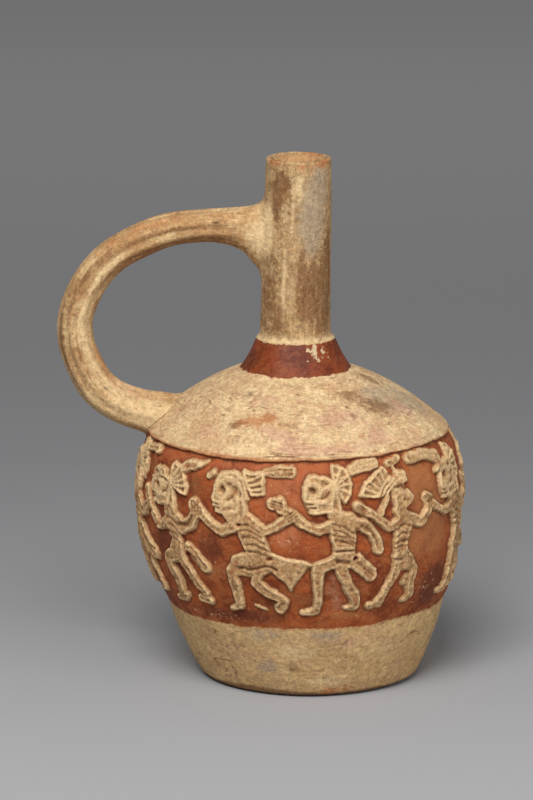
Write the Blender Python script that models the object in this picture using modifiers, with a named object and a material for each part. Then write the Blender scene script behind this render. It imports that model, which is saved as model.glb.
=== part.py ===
"""Handled jar of fired clay, with a moulded band of dancing skeletons round its belly.

Units are metres, +Z up. The origin is the middle of the flat foot. The picture side
faces -Y and the handle points to -X. The jar is one closed body of clay: a turned
pot, a rolled handle and the raised figures, hollowed by one cavity open at the rim.
"""

import math

import bmesh
import bpy
from mathutils import Vector

# Driving sizes of the pot in metres, stacked from the foot to the rim.
MM = 0.001
FOOT_RADIUS = 47.2 * MM
HEEL_ROUNDING = 2.6 * MM
BAND_FOOT = 33.0 * MM
BAND_FOOT_RADIUS = 59.2 * MM
BAND_HEIGHT = 72.3 * MM
BELLY_RISE = 42.0 * MM
BELLY_RADIUS = 68.4 * MM
SHOULDER_EDGE_RADIUS = 64.7 * MM
SHOULDER_LIP = 1.3 * MM
SHOULDER_RISE = 23.4 * MM
SHOULDER_FULL_RISE = 12.4 * MM
SHOULDER_FULL_RADIUS = 50.5 * MM
COLLAR_FOOT_RADIUS = 23.2 * MM
COLLAR_RISE = 13.0 * MM
COLLAR_TOP_RADIUS = 16.5 * MM
NECK_FOOT_RADIUS = 14.9 * MM
NECK_LENGTH = 77.0 * MM
NECK_WAIST_RADIUS = 13.7 * MM
NECK_WAIST_DROP = 24.0 * MM
RIM_RADIUS = 13.9 * MM
LIP_ROUNDING = 0.9 * MM
WALL = 5.0 * MM
FLOOR = 6.5 * MM
FLOOR_FILLET = 4.2 * MM
NECK_WALL = 3.4 * MM

# The pot leans a little, as hand work does: how far its axis stands off in X.
LEAN_AT_BELLY = -3.7 * MM
LEAN_AT_COLLAR = -5.9 * MM
LEAN_AT_RIM = -4.6 * MM

# The handle: its centreline against the rim, the neck's axis and the shoulder.
HANDLE_TOP_DROP = 29.2 * MM
HANDLE_ROOT_SAG = 4.6 * MM
HANDLE_TAPER_REACH = 24.5 * MM
HANDLE_STRAIGHT_REACH = 38.5 * MM
HANDLE_REACH = 93.8 * MM
HANDLE_FOOT_RISE = 5.8 * MM
HANDLE_RADIUS = 6.8 * MM
HANDLE_TAPER_RADIUS = 8.7 * MM
HANDLE_BEND_RADIUS = 7.5 * MM
HANDLE_FOOT_RADIUS = 9.5 * MM
HANDLE_FLARE_HALF_HEIGHT = 17.5 * MM
HANDLE_FLARE_HALF_WIDTH = 10.5 * MM

# How strongly the handle's line swings into its bends, as shares of the stretch it spans.
SWING_OUT = 0.54
SWING_DOWN = 0.42
SWING_ROUND = 1.04
SWING_HOME = 0.31

# Heights of the raised work above the band's ground, and how deep it is rooted in it.
LIMB_RELIEF = 1.9 * MM
TORSO_RELIEF = 2.3 * MM
HEAD_RELIEF = 2.4 * MM
FAN_RELIEF = 1.5 * MM
PLUME_RELIEF = 1.6 * MM
CLOTH_RELIEF = 1.5 * MM
ROOT_DEPTH = 1.2 * MM
EYE_DEPTH = 0.9 * MM

# The figures are drawn on a flat strip and wrapped round the band. Strip sizes are
# millimetres on a band of this length and height, and stretch with the band.
STRIP_LENGTH = 427.2
STRIP_HEIGHT = 72.3
HALVES = 2
LIMB_HALF_WIDTH = 2.0
FOOT_HALF_WIDTH = 1.6
HIP_HALF_WIDTH = 4.4
RIB_HALF_WIDTH = 4.2
RIB_GAP_HALF_WIDTH = 3.0
RIBS = 3
NAPE_HALF_WIDTH = 2.2
HEAD_HALF_WIDTH = 5.6
HEAD_HALF_HEIGHT = 6.2
EYE_HALF_WIDTH = 1.6
PLUME_ROOT_HALF_WIDTH = 1.5
PLUME_END_HALF_WIDTH = 2.1
CLOTH_HALF_WIDTH = 2.7
FAN_HUB_RADIUS = 4.0
FAN_RAYS = 4
FAN_RAY_SHARE = 0.55
SHARP_ANGLE = 40.0

# The skull's outline in shares of its half width and half height, first share towards
# the face: crown, back of the head, nape, hinge, chin, teeth, lip, nose, brow.
SKULL_OUTLINE = (
    (0.2, 1.0),
    (-0.7, 0.8),
    (-1.0, 0.1),
    (-0.7, -0.7),
    (0.7, -1.0),
    (1.0, -0.75),
    (0.85, -0.35),
    (1.2, -0.1),
    (0.9, 0.65),
)

# How finely round shapes are cut into facets.
POT_SEGMENTS = 44
CAVITY_SEGMENTS = 24
BAND_ROWS = 5
SHOULDER_ROWS = 5
HANDLE_STEPS = 5
HANDLE_BEVEL = 3

CLAY_COLOUR = (0.62, 0.36, 0.20, 1.0)
CLAY_ROUGHNESS = 0.8


class Dancer:
    """One skeleton. Its hips stand on the strip, and each limb is a chain of bones.

    A bone is a length in strip millimetres and a heading in degrees, 0 along the band.
    The head sits one bone away from the spine's end, and the fan one bone from the head.
    A fan gives that bone, its radius, and the headings where it starts and ends.
    """

    def __init__(self, hips, spine, head, faces, arms, legs, fan, plume, cloth, flare=CLOTH_HALF_WIDTH):
        self.spine = chain(hips, spine)
        self.head = chain(self.spine[-1], [head])[-1]
        self.faces = faces
        self.arms = [chain(self.spine[-1], bones) for bones in arms]
        self.legs = [chain(hips, bones) for bones in legs]
        self.fan_centre = chain(self.head, [fan[0]])[-1]
        self.fan_radius, self.fan_start, self.fan_end = fan[1:]
        self.plume = chain(self.head, plume)[1:]
        self.cloth = chain(hips, cloth)[1:]
        self.cloth_flare = flare


def bone(length, heading):
    """A step on the strip from a length and a heading in degrees."""
    turn = math.radians(heading)
    return Vector((length * math.cos(turn), length * math.sin(turn)))


def chain(start, bones):
    """The joints of a limb: where it starts and the end of each bone in turn."""
    joints = [Vector(start)]
    for length, heading in bones:
        joints.append(joints[-1] + bone(length, heading))
    return joints


def dancers():
    """The six skeletons of one half of the band, from left to right."""
    return [
        Dancer(
            hips=(-94, 30),
            spine=((8, 96), (9, 95)),
            head=(10, 125),
            faces="left",
            arms=(((9.5, 205), (9, 142), (7, 135)), ((9.5, -30), (9, 41))),
            legs=(((8, 240), (10, -80), (5, 215)), ((10.5, -34), (14.5, -62), (5, 205))),
            fan=((8, 25), 8.5, -35, 85),
            plume=((14, 58), (10, 14)),
            cloth=((5, 30), (13, -38)),
        ),
        Dancer(
            hips=(-58, 30),
            spine=((7.5, 105), (8, 97)),
            head=(11, 131),
            faces="left",
            arms=(((7.4, 212), (10.3, 141), (6.8, 118)), ((8.4, -20), (9.6, 38))),
            legs=(((6, 214), (10.4, -73), (8, 228)), ((8.4, -52), (10.8, -56), (5, 228))),
            fan=((7.6, 42), 8.5, -35, 90),
            plume=((19.5, 42), (11, 8)),
            cloth=((6.5, 22), (12, -36)),
        ),
        Dancer(
            hips=(-18.5, 30),
            spine=((7, 103), (10.5, 114)),
            head=(12.5, 127),
            faces="left",
            arms=(((9.4, 207), (8.9, 147), (8.2, 142)), ((10.2, -13), (11.8, 35))),
            legs=(((13.6, 199), (8.2, -80), (8, -101), (4, 210)), ((8, -94), (13.2, -38), (5.6, 229))),
            fan=((9.5, 22), 9.5, -35, 60),
            plume=((17, 43), (16.5, 0)),
            cloth=((4.5, -6), (13.6, -28)),
            flare=6.5,
        ),
        Dancer(
            hips=(16.5, 30),
            spine=((7.5, 92), (9.5, 96)),
            head=(12.5, 125),
            faces="left",
            arms=(((10.2, 199), (11.1, 144), (9.4, 150)), ((10.2, -10), (8.4, -55), (6.2, -68))),
            legs=(((11.2, 188), (17.8, -94), (7.4, 195)), ((8, -82), (11.6, -64), (5.2, 205))),
            fan=((8.2, 34), 8.2, -60, 100),
            plume=((17.5, 35), (12, 14)),
            cloth=((5.5, 20), (13, -39)),
        ),
        Dancer(
            hips=(44.5, 28.5),
            spine=((8, 97), (8.5, 78)),
            head=(8, 95),
            faces="right",
            arms=(((8.2, 198), (11.6, 139), (6.2, 150)), ((10, -14), (6.5, 24))),
            legs=(((5.5, 222), (13.2, 236), (4.6, 219)), ((8, -43), (6.7, -107), (5.4, 240))),
            fan=((7.2, 146), 11, 92, 186),
            plume=((15.5, 107), (6.5, 18)),
            cloth=((4.5, -75), (6.5, -80)),
        ),
        Dancer(
            hips=(83, 29),
            spine=((8.5, 86), (9, 97)),
            head=(11, 127),
            faces="left",
            arms=(((9, 203), (9.8, 152), (7.4, 139)), ((9.5, -22), (10, 40))),
            legs=(((9, 243), (9, -93), (6.4, 208)), ((9.4, -58), (9.5, -100), (5, 210))),
            fan=((8.5, 40), 8.5, -40, 85),
            plume=((15, 120), (17, 178)),
            cloth=((6, 18), (12, -38)),
        ),
    ]


def smooth_rise(value, start, end):
    """0 before start, 1 after end, and a smooth S between them."""
    share = min(1.0, max(0.0, (value - start) / (end - start)))
    return share * share * (3.0 - 2.0 * share)


def band_top():
    """Height of the upper edge of the band."""
    return BAND_FOOT + BAND_HEIGHT


def collar_foot():
    """Height where the shoulder meets the collar."""
    return band_top() + SHOULDER_LIP + SHOULDER_RISE


def collar_top():
    """Height where the collar meets the neck."""
    return collar_foot() + COLLAR_RISE


def jar_height():
    """Height of the rim."""
    return collar_top() + NECK_LENGTH


def lean(height):
    """How far the pot's axis stands off in X at this height."""
    belly = BAND_FOOT + BELLY_RISE
    to_belly = LEAN_AT_BELLY * smooth_rise(height, 0.0, belly)
    to_collar = (LEAN_AT_COLLAR - LEAN_AT_BELLY) * smooth_rise(height, belly, collar_top())
    to_rim = (LEAN_AT_RIM - LEAN_AT_COLLAR) * smooth_rise(height, collar_top(), jar_height())
    return to_belly + to_collar + to_rim


def ground_radius(height):
    """Radius of the band's ground: a parabola through the band's foot and the belly."""
    fall = (BELLY_RADIUS - BAND_FOOT_RADIUS) / BELLY_RISE**2
    return BELLY_RADIUS - fall * (height - BAND_FOOT - BELLY_RISE) ** 2


def arc(centre, radius, start, end, count):
    """Points of an arc in a profile as (radius, height) pairs, angles in degrees."""
    angles = [math.radians(start + (end - start) * i / count) for i in range(count + 1)]
    return [(centre[0] + radius * math.cos(a), centre[1] + radius * math.sin(a)) for a in angles]


def band_profile():
    """The ground of the band, from its foot to its top."""
    heights = [BAND_FOOT + BAND_HEIGHT * i / BAND_ROWS for i in range(BAND_ROWS + 1)]
    return [(ground_radius(height), height) for height in heights]


def shoulder_profile():
    """The dome from the shoulder's edge to the collar's foot, as one full curve."""
    edge = Vector((SHOULDER_EDGE_RADIUS, band_top() + SHOULDER_LIP))
    full = Vector((SHOULDER_FULL_RADIUS, edge.y + SHOULDER_FULL_RISE))
    foot = Vector((COLLAR_FOOT_RADIUS, collar_foot()))
    shares = [i / SHOULDER_ROWS for i in range(SHOULDER_ROWS + 1)]
    return [tuple(edge * (1 - s) ** 2 + full * 2 * s * (1 - s) + foot * s * s) for s in shares]


def outer_profile():
    """The outer outline, from the middle of the foot to the middle of the rim."""
    heel_centre = (FOOT_RADIUS - HEEL_ROUNDING, HEEL_ROUNDING)
    lip = min(LIP_ROUNDING, 0.4 * NECK_WALL)
    lip_centre = (RIM_RADIUS - lip, jar_height() - lip)
    ledge = COLLAR_TOP_RADIUS - NECK_FOOT_RADIUS
    return [
        (0.0, 0.0),
        *arc(heel_centre, HEEL_ROUNDING, -90, -20, 2),
        *band_profile(),
        (SHOULDER_EDGE_RADIUS, band_top() + 0.3 * SHOULDER_LIP),
        *shoulder_profile(),
        (COLLAR_TOP_RADIUS, collar_top()),
        (NECK_FOOT_RADIUS, collar_top() + ledge),
        (NECK_WAIST_RADIUS, jar_height() - NECK_WAIST_DROP),
        *arc(lip_centre, lip, 0, 90, 2),
        (0.0, jar_height()),
    ]


def set_in(profile, depth):
    """The profile moved inwards by depth, square to itself at each point."""
    points = [Vector(point) for point in profile]
    moved = []
    for i, point in enumerate(points):
        along = points[min(i + 1, len(points) - 1)] - points[max(i - 1, 0)]
        inward = Vector((-along.y, along.x)).normalized()
        moved.append(tuple(point + inward * depth))
    return moved


def cavity_profile():
    """The hollow: the floor, the wall set in from outside, the throat and the bore."""
    bore = NECK_WAIST_RADIUS - NECK_WALL
    lip = min(LIP_ROUNDING, 0.4 * NECK_WALL)
    foot = (FOOT_RADIUS, HEEL_ROUNDING)
    outside = [foot, *band_profile(), *shoulder_profile(), (COLLAR_TOP_RADIUS, collar_top())]
    inside = set_in(outside, WALL)
    above_floor = [p for p in inside if p[1] > FLOOR + FLOOR_FILLET + HEEL_ROUNDING]
    walls = [p for p in above_floor if p[1] < collar_foot() and p[0] > bore]
    slope = (BAND_FOOT_RADIUS - FOOT_RADIUS) / (BAND_FOOT - HEEL_ROUNDING)
    corner = FOOT_RADIUS - WALL + slope * FLOOR
    return [
        (0.0, FLOOR),
        (corner - FLOOR_FILLET, FLOOR),
        (corner, FLOOR + FLOOR_FILLET),
        *walls,
        (bore, collar_top()),
        (bore, jar_height() - lip),
        (bore + 1.5 * lip, jar_height() + 0.5 * lip),
        (0.0, jar_height() + 0.5 * lip),
    ]


def shown(name, data, collection):
    """A new object in the collection that shows this mesh or curve."""
    made = bpy.data.objects.new(name, data)
    collection.objects.link(made)
    bpy.context.view_layer.update()
    return made


def plain_mesh(obj):
    """The object's finished shape as a mesh with its loose caps welded. The object goes."""
    graph = bpy.context.evaluated_depsgraph_get()
    mesh = bpy.data.meshes.new_from_object(obj.evaluated_get(graph))
    bpy.data.objects.remove(obj)
    work = bmesh.new()
    work.from_mesh(mesh)
    bmesh.ops.remove_doubles(work, verts=work.verts, dist=0.005 * MM)
    bmesh.ops.recalc_face_normals(work, faces=work.faces)
    work.to_mesh(mesh)
    work.free()
    return mesh


def turned(name, profile, segments, collection):
    """A solid turned about the leaning axis. The profile runs from bottom to top."""
    outline = [(radius, 0.0, height) for radius, height in reversed(profile)]
    mesh = bpy.data.meshes.new(name)
    mesh.from_pydata(outline, [(i, i + 1) for i in range(len(outline) - 1)], [])
    made = shown(name, mesh, collection)
    screw = made.modifiers.new("turn", "SCREW")
    screw.axis = "Z"
    screw.angle = 2 * math.pi
    screw.steps = segments
    screw.render_steps = segments
    screw.use_merge_vertices = True
    screw.merge_threshold = 0.01 * MM
    bpy.context.view_layer.update()
    mesh = plain_mesh(made)
    for vertex in mesh.vertices:
        vertex.co.x += lean(vertex.co.z)
    return shown(name, mesh, collection)


def rolled_handle(collection):
    """The handle, rolled round and pressed on, from inside the neck to inside the shoulder."""
    top = jar_height() - HANDLE_TOP_DROP
    foot = band_top() + HANDLE_FOOT_RISE
    bulge = 0.5 * (top + foot)
    axis = lean(top)
    body_root = 0.7 * SHOULDER_FULL_RADIUS
    rise = top - bulge
    out = HANDLE_REACH - HANDLE_STRAIGHT_REACH
    back = HANDLE_REACH - body_root
    ease = 0.3 * (HANDLE_STRAIGHT_REACH - HANDLE_TAPER_REACH)
    sagged = top - HANDLE_ROOT_SAG
    knots = (
        (0.5 * NECK_WAIST_RADIUS, sagged, HANDLE_FLARE_HALF_HEIGHT, (ease, 0), (-ease, 0)),
        (HANDLE_TAPER_REACH, top, HANDLE_TAPER_RADIUS, (ease, 0), (-ease, 0)),
        (HANDLE_STRAIGHT_REACH, top, HANDLE_RADIUS, (ease, 0), (-SWING_OUT * out, 0)),
        (HANDLE_REACH, bulge, HANDLE_BEND_RADIUS, (0, SWING_DOWN * rise), (0, -SWING_ROUND * rise)),
        (body_root, foot, HANDLE_FOOT_RADIUS, (-SWING_HOME * back, 0), (ease, 0)),
    )
    data = bpy.data.curves.new("handle", "CURVE")
    data.dimensions = "3D"
    data.bevel_depth = 1.0
    data.bevel_resolution = HANDLE_BEVEL
    data.resolution_u = HANDLE_STEPS
    data.use_fill_caps = True
    spline = data.splines.new("BEZIER")
    spline.bezier_points.add(len(knots) - 1)
    for knot, (reach, height, radius, before, after) in zip(spline.bezier_points, knots):
        knot.co = (axis - reach, 0.0, height)
        knot.radius = radius
        knot.handle_left = knot.co + Vector((before[0], 0.0, before[1]))
        knot.handle_right = knot.co + Vector((after[0], 0.0, after[1]))
    mesh = plain_mesh(shown("handle", data, collection))
    squeeze = HANDLE_FLARE_HALF_WIDTH / HANDLE_FLARE_HALF_HEIGHT
    for vertex in mesh.vertices:
        reach = axis - vertex.co.x
        near_neck = 1.0 - smooth_rise(reach, NECK_WAIST_RADIUS, HANDLE_STRAIGHT_REACH)
        vertex.co.y *= 1.0 + (squeeze - 1.0) * near_neck
    return shown("handle", mesh, collection)


def wrapped(mesh, along):
    """Bends a piece drawn on the strip round the band, along millimetres further on."""
    for vertex in mesh.vertices:
        turn = 2 * math.pi * (vertex.co.x + along) / STRIP_LENGTH
        height = BAND_FOOT + BAND_HEIGHT * vertex.co.y / STRIP_HEIGHT
        radius = ground_radius(height) + vertex.co.z
        vertex.co.x = lean(height) + radius * math.sin(turn)
        vertex.co.y = -radius * math.cos(turn)
        vertex.co.z = height
    return mesh


def tube(name, joints, widths, relief, along, collection):
    """A flat-topped bone through the joints, with a half width at each of them."""
    data = bpy.data.curves.new(name, "CURVE")
    data.dimensions = "3D"
    data.bevel_depth = 1.0
    data.bevel_resolution = 0
    data.use_fill_caps = True
    spline = data.splines.new("POLY")
    spline.points.add(len(joints) - 1)
    for knot, joint, width in zip(spline.points, joints, widths):
        knot.co = (joint.x, joint.y, 0.0, 1.0)
        knot.radius = width * math.sqrt(2.0)
        knot.tilt = math.radians(45.0)
    mesh = plain_mesh(shown(name, data, collection))
    widest = max(widths)
    for vertex in mesh.vertices:
        share = vertex.co.z / widest
        vertex.co.z = relief * share if share > 0 else -ROOT_DEPTH
    return shown(name, wrapped(mesh, along), collection)


def plate(name, outline, relief, along, collection):
    """A flat piece with this outline."""
    data = bpy.data.curves.new(name, "CURVE")
    data.dimensions = "2D"
    data.fill_mode = "BOTH"
    data.extrude = 1.0
    spline = data.splines.new("POLY")
    spline.points.add(len(outline) - 1)
    for knot, place in zip(spline.points, outline):
        knot.co = (place.x, place.y, 0.0, 1.0)
    spline.use_cyclic_u = True
    mesh = plain_mesh(shown(name, data, collection))
    for vertex in mesh.vertices:
        vertex.co.z = relief if vertex.co.z > 0 else -ROOT_DEPTH
    return shown(name, wrapped(mesh, along), collection)


def pit(name, centre, half_width, top, depth, along, collection):
    """A cone that sinks from the top surface, such as an eye socket."""
    work = bmesh.new()
    bmesh.ops.create_uvsphere(work, u_segments=6, v_segments=2, radius=1.0)
    mesh = bpy.data.meshes.new(name)
    work.to_mesh(mesh)
    work.free()
    for vertex in mesh.vertices:
        vertex.co.x = centre.x + half_width * vertex.co.x
        vertex.co.y = centre.y + half_width * vertex.co.y
        vertex.co.z = top + depth * vertex.co.z
    return shown(name, wrapped(mesh, along), collection)


def fan_outline(centre, outer, start, end):
    """A half-open fan: rays as teeth on a round hub, angles in degrees."""
    outline = [Vector(centre)]
    pitch = (end - start) / FAN_RAYS
    for ray in range(FAN_RAYS):
        middle = start + pitch * (ray + 0.5)
        half = 0.5 * FAN_RAY_SHARE * pitch
        outline.append(centre + bone(FAN_HUB_RADIUS, middle - half))
        outline.append(centre + bone(outer, middle - half))
        outline.append(centre + bone(outer, middle + half))
        outline.append(centre + bone(FAN_HUB_RADIUS, middle + half))
    return outline


def ribbed_torso(dancer):
    """Joints and half widths from the hips up over the ribs to the middle of the skull."""
    hips, waist, shoulder = dancer.spine
    joints = [hips]
    widths = [HIP_HALF_WIDTH]
    for rib in range(RIBS):
        joints.append(waist.lerp(shoulder, rib / RIBS))
        joints.append(waist.lerp(shoulder, (rib + 0.5) / RIBS))
        widths += [RIB_GAP_HALF_WIDTH, RIB_HALF_WIDTH]
    return joints + [shoulder, dancer.head], widths + [NAPE_HALF_WIDTH, NAPE_HALF_WIDTH]


def raise_dancer(name, dancer, along, raised, sunk):
    """Adds one skeleton to the raised work and its eye socket to the sunk work."""
    for limbs, (one, other) in (("arms", dancer.arms), ("legs", dancer.legs)):
        joints = one[::-1] + other[1:]
        widths = [FOOT_HALF_WIDTH, *[LIMB_HALF_WIDTH] * (len(joints) - 2), FOOT_HALF_WIDTH]
        tube(f"{name}_{limbs}", joints, widths, LIMB_RELIEF, along, raised)
    joints, widths = ribbed_torso(dancer)
    tube(f"{name}_torso", joints, widths, TORSO_RELIEF, along, raised)
    look = -1 if dancer.faces == "left" else 1
    size = Vector((look * HEAD_HALF_WIDTH, HEAD_HALF_HEIGHT))
    skull = [dancer.head + Vector((size.x * x, size.y * y)) for x, y in SKULL_OUTLINE]
    plate(f"{name}_skull", skull, HEAD_RELIEF, along, raised)
    eye = dancer.head + Vector((0.35 * size.x, 0.25 * size.y))
    pit(f"{name}_eye", eye, EYE_HALF_WIDTH, HEAD_RELIEF, EYE_DEPTH, along, sunk)
    rays = fan_outline(dancer.fan_centre, dancer.fan_radius, dancer.fan_start, dancer.fan_end)
    plate(f"{name}_fan", rays, FAN_RELIEF, along, raised)
    widths = [PLUME_ROOT_HALF_WIDTH, PLUME_END_HALF_WIDTH]
    tube(f"{name}_plume", dancer.plume, widths, PLUME_RELIEF, along, raised)
    widths = [CLOTH_HALF_WIDTH, dancer.cloth_flare]
    tube(f"{name}_cloth", dancer.cloth, widths, CLOTH_RELIEF, along, raised)


def clay():
    """The fired clay."""
    made = bpy.data.materials.new("fired_clay")
    made.use_nodes = True
    surface = made.node_tree.nodes["Principled BSDF"]
    surface.inputs["Base Color"].default_value = CLAY_COLOUR
    surface.inputs["Roughness"].default_value = CLAY_ROUGHNESS
    return made


def combine(body, operation, shapers):
    """Adds a collection of shapers to the body, or takes them out of it."""
    change = body.modifiers.new(operation.lower(), "BOOLEAN")
    change.operation = operation
    change.solver = "EXACT"
    change.operand_type = "COLLECTION"
    change.collection = shapers


def settle(body):
    """Makes the body's finished shape its own mesh, smooth between its sharp edges."""
    graph = bpy.context.evaluated_depsgraph_get()
    body.data = bpy.data.meshes.new_from_object(body.evaluated_get(graph))
    body.modifiers.clear()
    body.data.shade_smooth()
    body.data.set_sharp_from_angle(angle=math.radians(SHARP_ANGLE))


def main():
    """Builds the jar out of its turned pot, its raised work and its hollow."""
    for old in list(bpy.data.objects):
        bpy.data.objects.remove(old)
    scene = bpy.context.scene.collection
    part = bpy.data.collections.new("handled_jar")
    raised = bpy.data.collections.new("raised_work")
    sunk = bpy.data.collections.new("sunk_work")
    for made in (part, raised, sunk):
        scene.children.link(made)

    jar = turned("jar", outer_profile(), POT_SEGMENTS, part)
    jar.data.materials.append(clay())
    rolled_handle(raised)
    for half in range(HALVES):
        along = half * STRIP_LENGTH / HALVES
        for place, dancer in enumerate(dancers()):
            raise_dancer(f"dancer_{half}_{place}", dancer, along, raised, sunk)
    turned("cavity", cavity_profile(), CAVITY_SEGMENTS, sunk)

    combine(jar, "UNION", raised)
    combine(jar, "DIFFERENCE", sunk)
    settle(jar)
    for shaper in (*raised.objects, *sunk.objects):
        shaper.hide_render = True
        shaper.display_type = "WIRE"


main()
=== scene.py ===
"""The looks of a handled jar of fired clay with a moulded band of dancing skeletons.

The jar is one closed body of clay: a turned pot that leans a little, a rolled handle
pressed on at the neck and the shoulder, and a hollow open at the rim. The band of
figures is worked on a strip that is wrapped round the belly. Sizes are millimetres in
the classes, and the finished mesh is metres in the part's own frame.
"""

import logging
import math
from dataclasses import dataclass, field
from enum import Enum

import bpy
import numpy as np
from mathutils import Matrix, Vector

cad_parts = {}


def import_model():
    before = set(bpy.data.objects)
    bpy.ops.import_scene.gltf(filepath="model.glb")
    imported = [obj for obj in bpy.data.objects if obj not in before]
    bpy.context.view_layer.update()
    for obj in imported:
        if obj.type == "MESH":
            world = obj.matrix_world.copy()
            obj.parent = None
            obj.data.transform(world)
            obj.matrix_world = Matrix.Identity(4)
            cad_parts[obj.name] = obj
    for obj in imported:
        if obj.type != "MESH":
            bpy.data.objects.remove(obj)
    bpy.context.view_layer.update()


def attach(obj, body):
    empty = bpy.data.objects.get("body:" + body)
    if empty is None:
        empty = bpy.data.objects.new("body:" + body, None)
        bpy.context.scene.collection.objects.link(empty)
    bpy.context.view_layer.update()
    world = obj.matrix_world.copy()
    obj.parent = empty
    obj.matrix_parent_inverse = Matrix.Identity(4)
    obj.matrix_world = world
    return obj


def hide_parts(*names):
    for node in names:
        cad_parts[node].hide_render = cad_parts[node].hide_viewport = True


LOG = logging.getLogger("handled_jar")
MM = 0.001
STAIN_RADIUS = 68.0
FAR_OFF = 99.0
Array = np.ndarray
Pair = tuple[float, float]
Row = tuple[float, float, float, float, float]
Box = tuple[float, float, float, float]
Colour = tuple[int, int, int]
Socket = bpy.types.NodeSocket
Value = Socket | float | Colour


class Join(Enum):
    """What a closed shape does to the clay that it meets."""

    ADD = "UNION"
    TAKE = "DIFFERENCE"


class Tint(Enum):
    """What has stained the clay in one place; the dark and rose tints also lay a painted shadow and a painted sheen.
    """

    BROWN = (118, 76, 42)
    GREY = (166, 146, 120)
    PALE = (222, 192, 144)
    PINK = (190, 142, 118)
    ORANGE = (176, 112, 66)
    MAROON = (100, 46, 26)
    ROSE = (178, 98, 60)
    DARK = (58, 34, 22)


def rise(value: Array, start: float, end: float) -> Array:
    """A smooth S from 0 at start to 1 at end.

    Args:
        value: The places to look at.
        start: Where the S is 0.
        end: Where the S is 1.

    Returns:
        The share at each place.
    """
    share = np.clip((np.asarray(value, float) - start) / (end - start), 0.0, 1.0)
    return share * share * (3.0 - 2.0 * share)


def flowing(points: Array, step: float) -> Array:
    """Draws one flowing line through points and cuts it into even steps.

    Args:
        points: The knots, one row each. Extra columns flow along as well.
        step: The length of a step along the first two columns.

    Returns:
        The points of the line, its first and last knots among them.
    """
    knots = np.asarray(points, float)
    ends = np.vstack([2 * knots[0] - knots[1], knots, 2 * knots[-1] - knots[-2]])
    shares = np.linspace(0.0, 1.0, 24, endpoint=False)[:, None]
    runs = []
    for a, b, c, d in zip(ends[:-3], ends[1:-2], ends[2:-1], ends[3:]):
        bend = (2 * b, c - a, 2 * a - 5 * b + 4 * c - d, 3 * b - a - 3 * c + d)
        runs.append(0.5 * sum(part * shares**power for power, part in enumerate(bend)))
    line = np.vstack([*runs, knots[-1:]])
    along = np.concatenate([[0.0], np.cumsum(np.hypot(*np.diff(line[:, :2], axis=0).T))])
    places = np.linspace(0.0, along[-1], max(2, round(along[-1] / step) + 1))
    return np.column_stack([np.interp(places, along, column) for column in line.T])


def smeared(values: Array, cell: float, grain: float) -> Array:
    """Spreads each cell of a seamless field softly over its neighbours.

    Args:
        values: The field.
        cell: Size of a cell.
        grain: How wide a cell is spread.

    Returns:
        The softer field.
    """
    rows = np.fft.fftfreq(values.shape[0], cell)[:, None]
    columns = np.fft.rfftfreq(values.shape[1], cell)[None, :]
    keep = np.exp(-2.0 * (math.pi * grain / 2.0) ** 2 * (rows**2 + columns**2))
    return np.fft.irfft2(np.fft.rfft2(values) * keep, s=values.shape)


def cloud(shape: tuple[int, int], cell: float, grain: float, seed: int) -> Array:
    """An even, seamless field of soft random lumps.

    Args:
        shape: Rows and columns of the field.
        cell: Size of a cell.
        grain: Size of a lump.
        seed: Start of the random draw.

    Returns:
        The field, with mean 0 and spread 1.
    """
    lumps = smeared(np.random.default_rng(seed).standard_normal(shape), cell, grain)
    return (lumps - lumps.mean()) / lumps.std()


@dataclass(frozen=True)
class Mark:
    """A stain at one place of the pot, or along the handle; a painted shadow and a painted sheen are laid as marks
    too.
    """

    tint: Tint
    across: float
    up: float
    half_width: float
    half_height: float
    share: float
    on_handle: bool

    def strength(self, across: Array, up: Array) -> Array:
        """How strong the stain is at places given as it gives its own middle."""
        far = ((across - self.across) / self.half_width) ** 2 + ((up - self.up) / self.half_height) ** 2
        return self.share * np.exp(-far)


def box_round(points: tuple[Pair, ...], side: float) -> Box:
    """The box round points: lowest and highest u, then lowest and highest z, wider by a side all round.

    Args:
        points: The points.
        side: How much wider the box is.

    Returns:
        The four limits.
    """
    places = np.array(points)
    low, high = places.min(0) - side, places.max(0) + side
    return low[0], high[0], low[1], high[1]


def off_run(a: Pair, b: Pair, u: Array, z: Array) -> tuple[Array, Array]:
    """Distance of places to a straight run, and the share of the run where they are nearest.

    Args:
        a: Where the run starts.
        b: Where it ends.
        u: Places along the strip.
        z: Heights.

    Returns:
        Distances in millimetres, and shares from 0 to 1.
    """
    x, y = b[0] - a[0], b[1] - a[1]
    share = np.clip(((u - a[0]) * x + (z - a[1]) * y) / max(x**2 + y**2, 1e-9), 0, 1)
    return np.hypot(u - a[0] - share * x, z - a[1] - share * y), share


@dataclass(frozen=True)
class Limb:
    """A rounded stroke of clay through joints, with a half width at each of them."""

    joints: tuple[Pair, ...]
    widths: tuple[float, ...]
    relief: float = 1.5

    def reach(self) -> Box:
        """The stroke's box on the strip."""
        return box_round(self.joints, max(self.widths))

    def gap(self, u: Array, z: Array) -> Array:
        """Signed distance to the stroke's edge.

        Args:
            u: Places along the strip.
            z: Heights.

        Returns:
            Millimetres outside the stroke, negative inside it.
        """
        nearest = np.full(np.broadcast(u, z).shape, FAR_OFF)
        ends = list(zip(self.joints, self.widths))
        for (a, wide_a), (b, wide_b) in zip(ends[:-1], ends[1:]):
            off, share = off_run(a, b, u, z)
            nearest = np.minimum(nearest, off - wide_a - share * (wide_b - wide_a))
        return nearest


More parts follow.
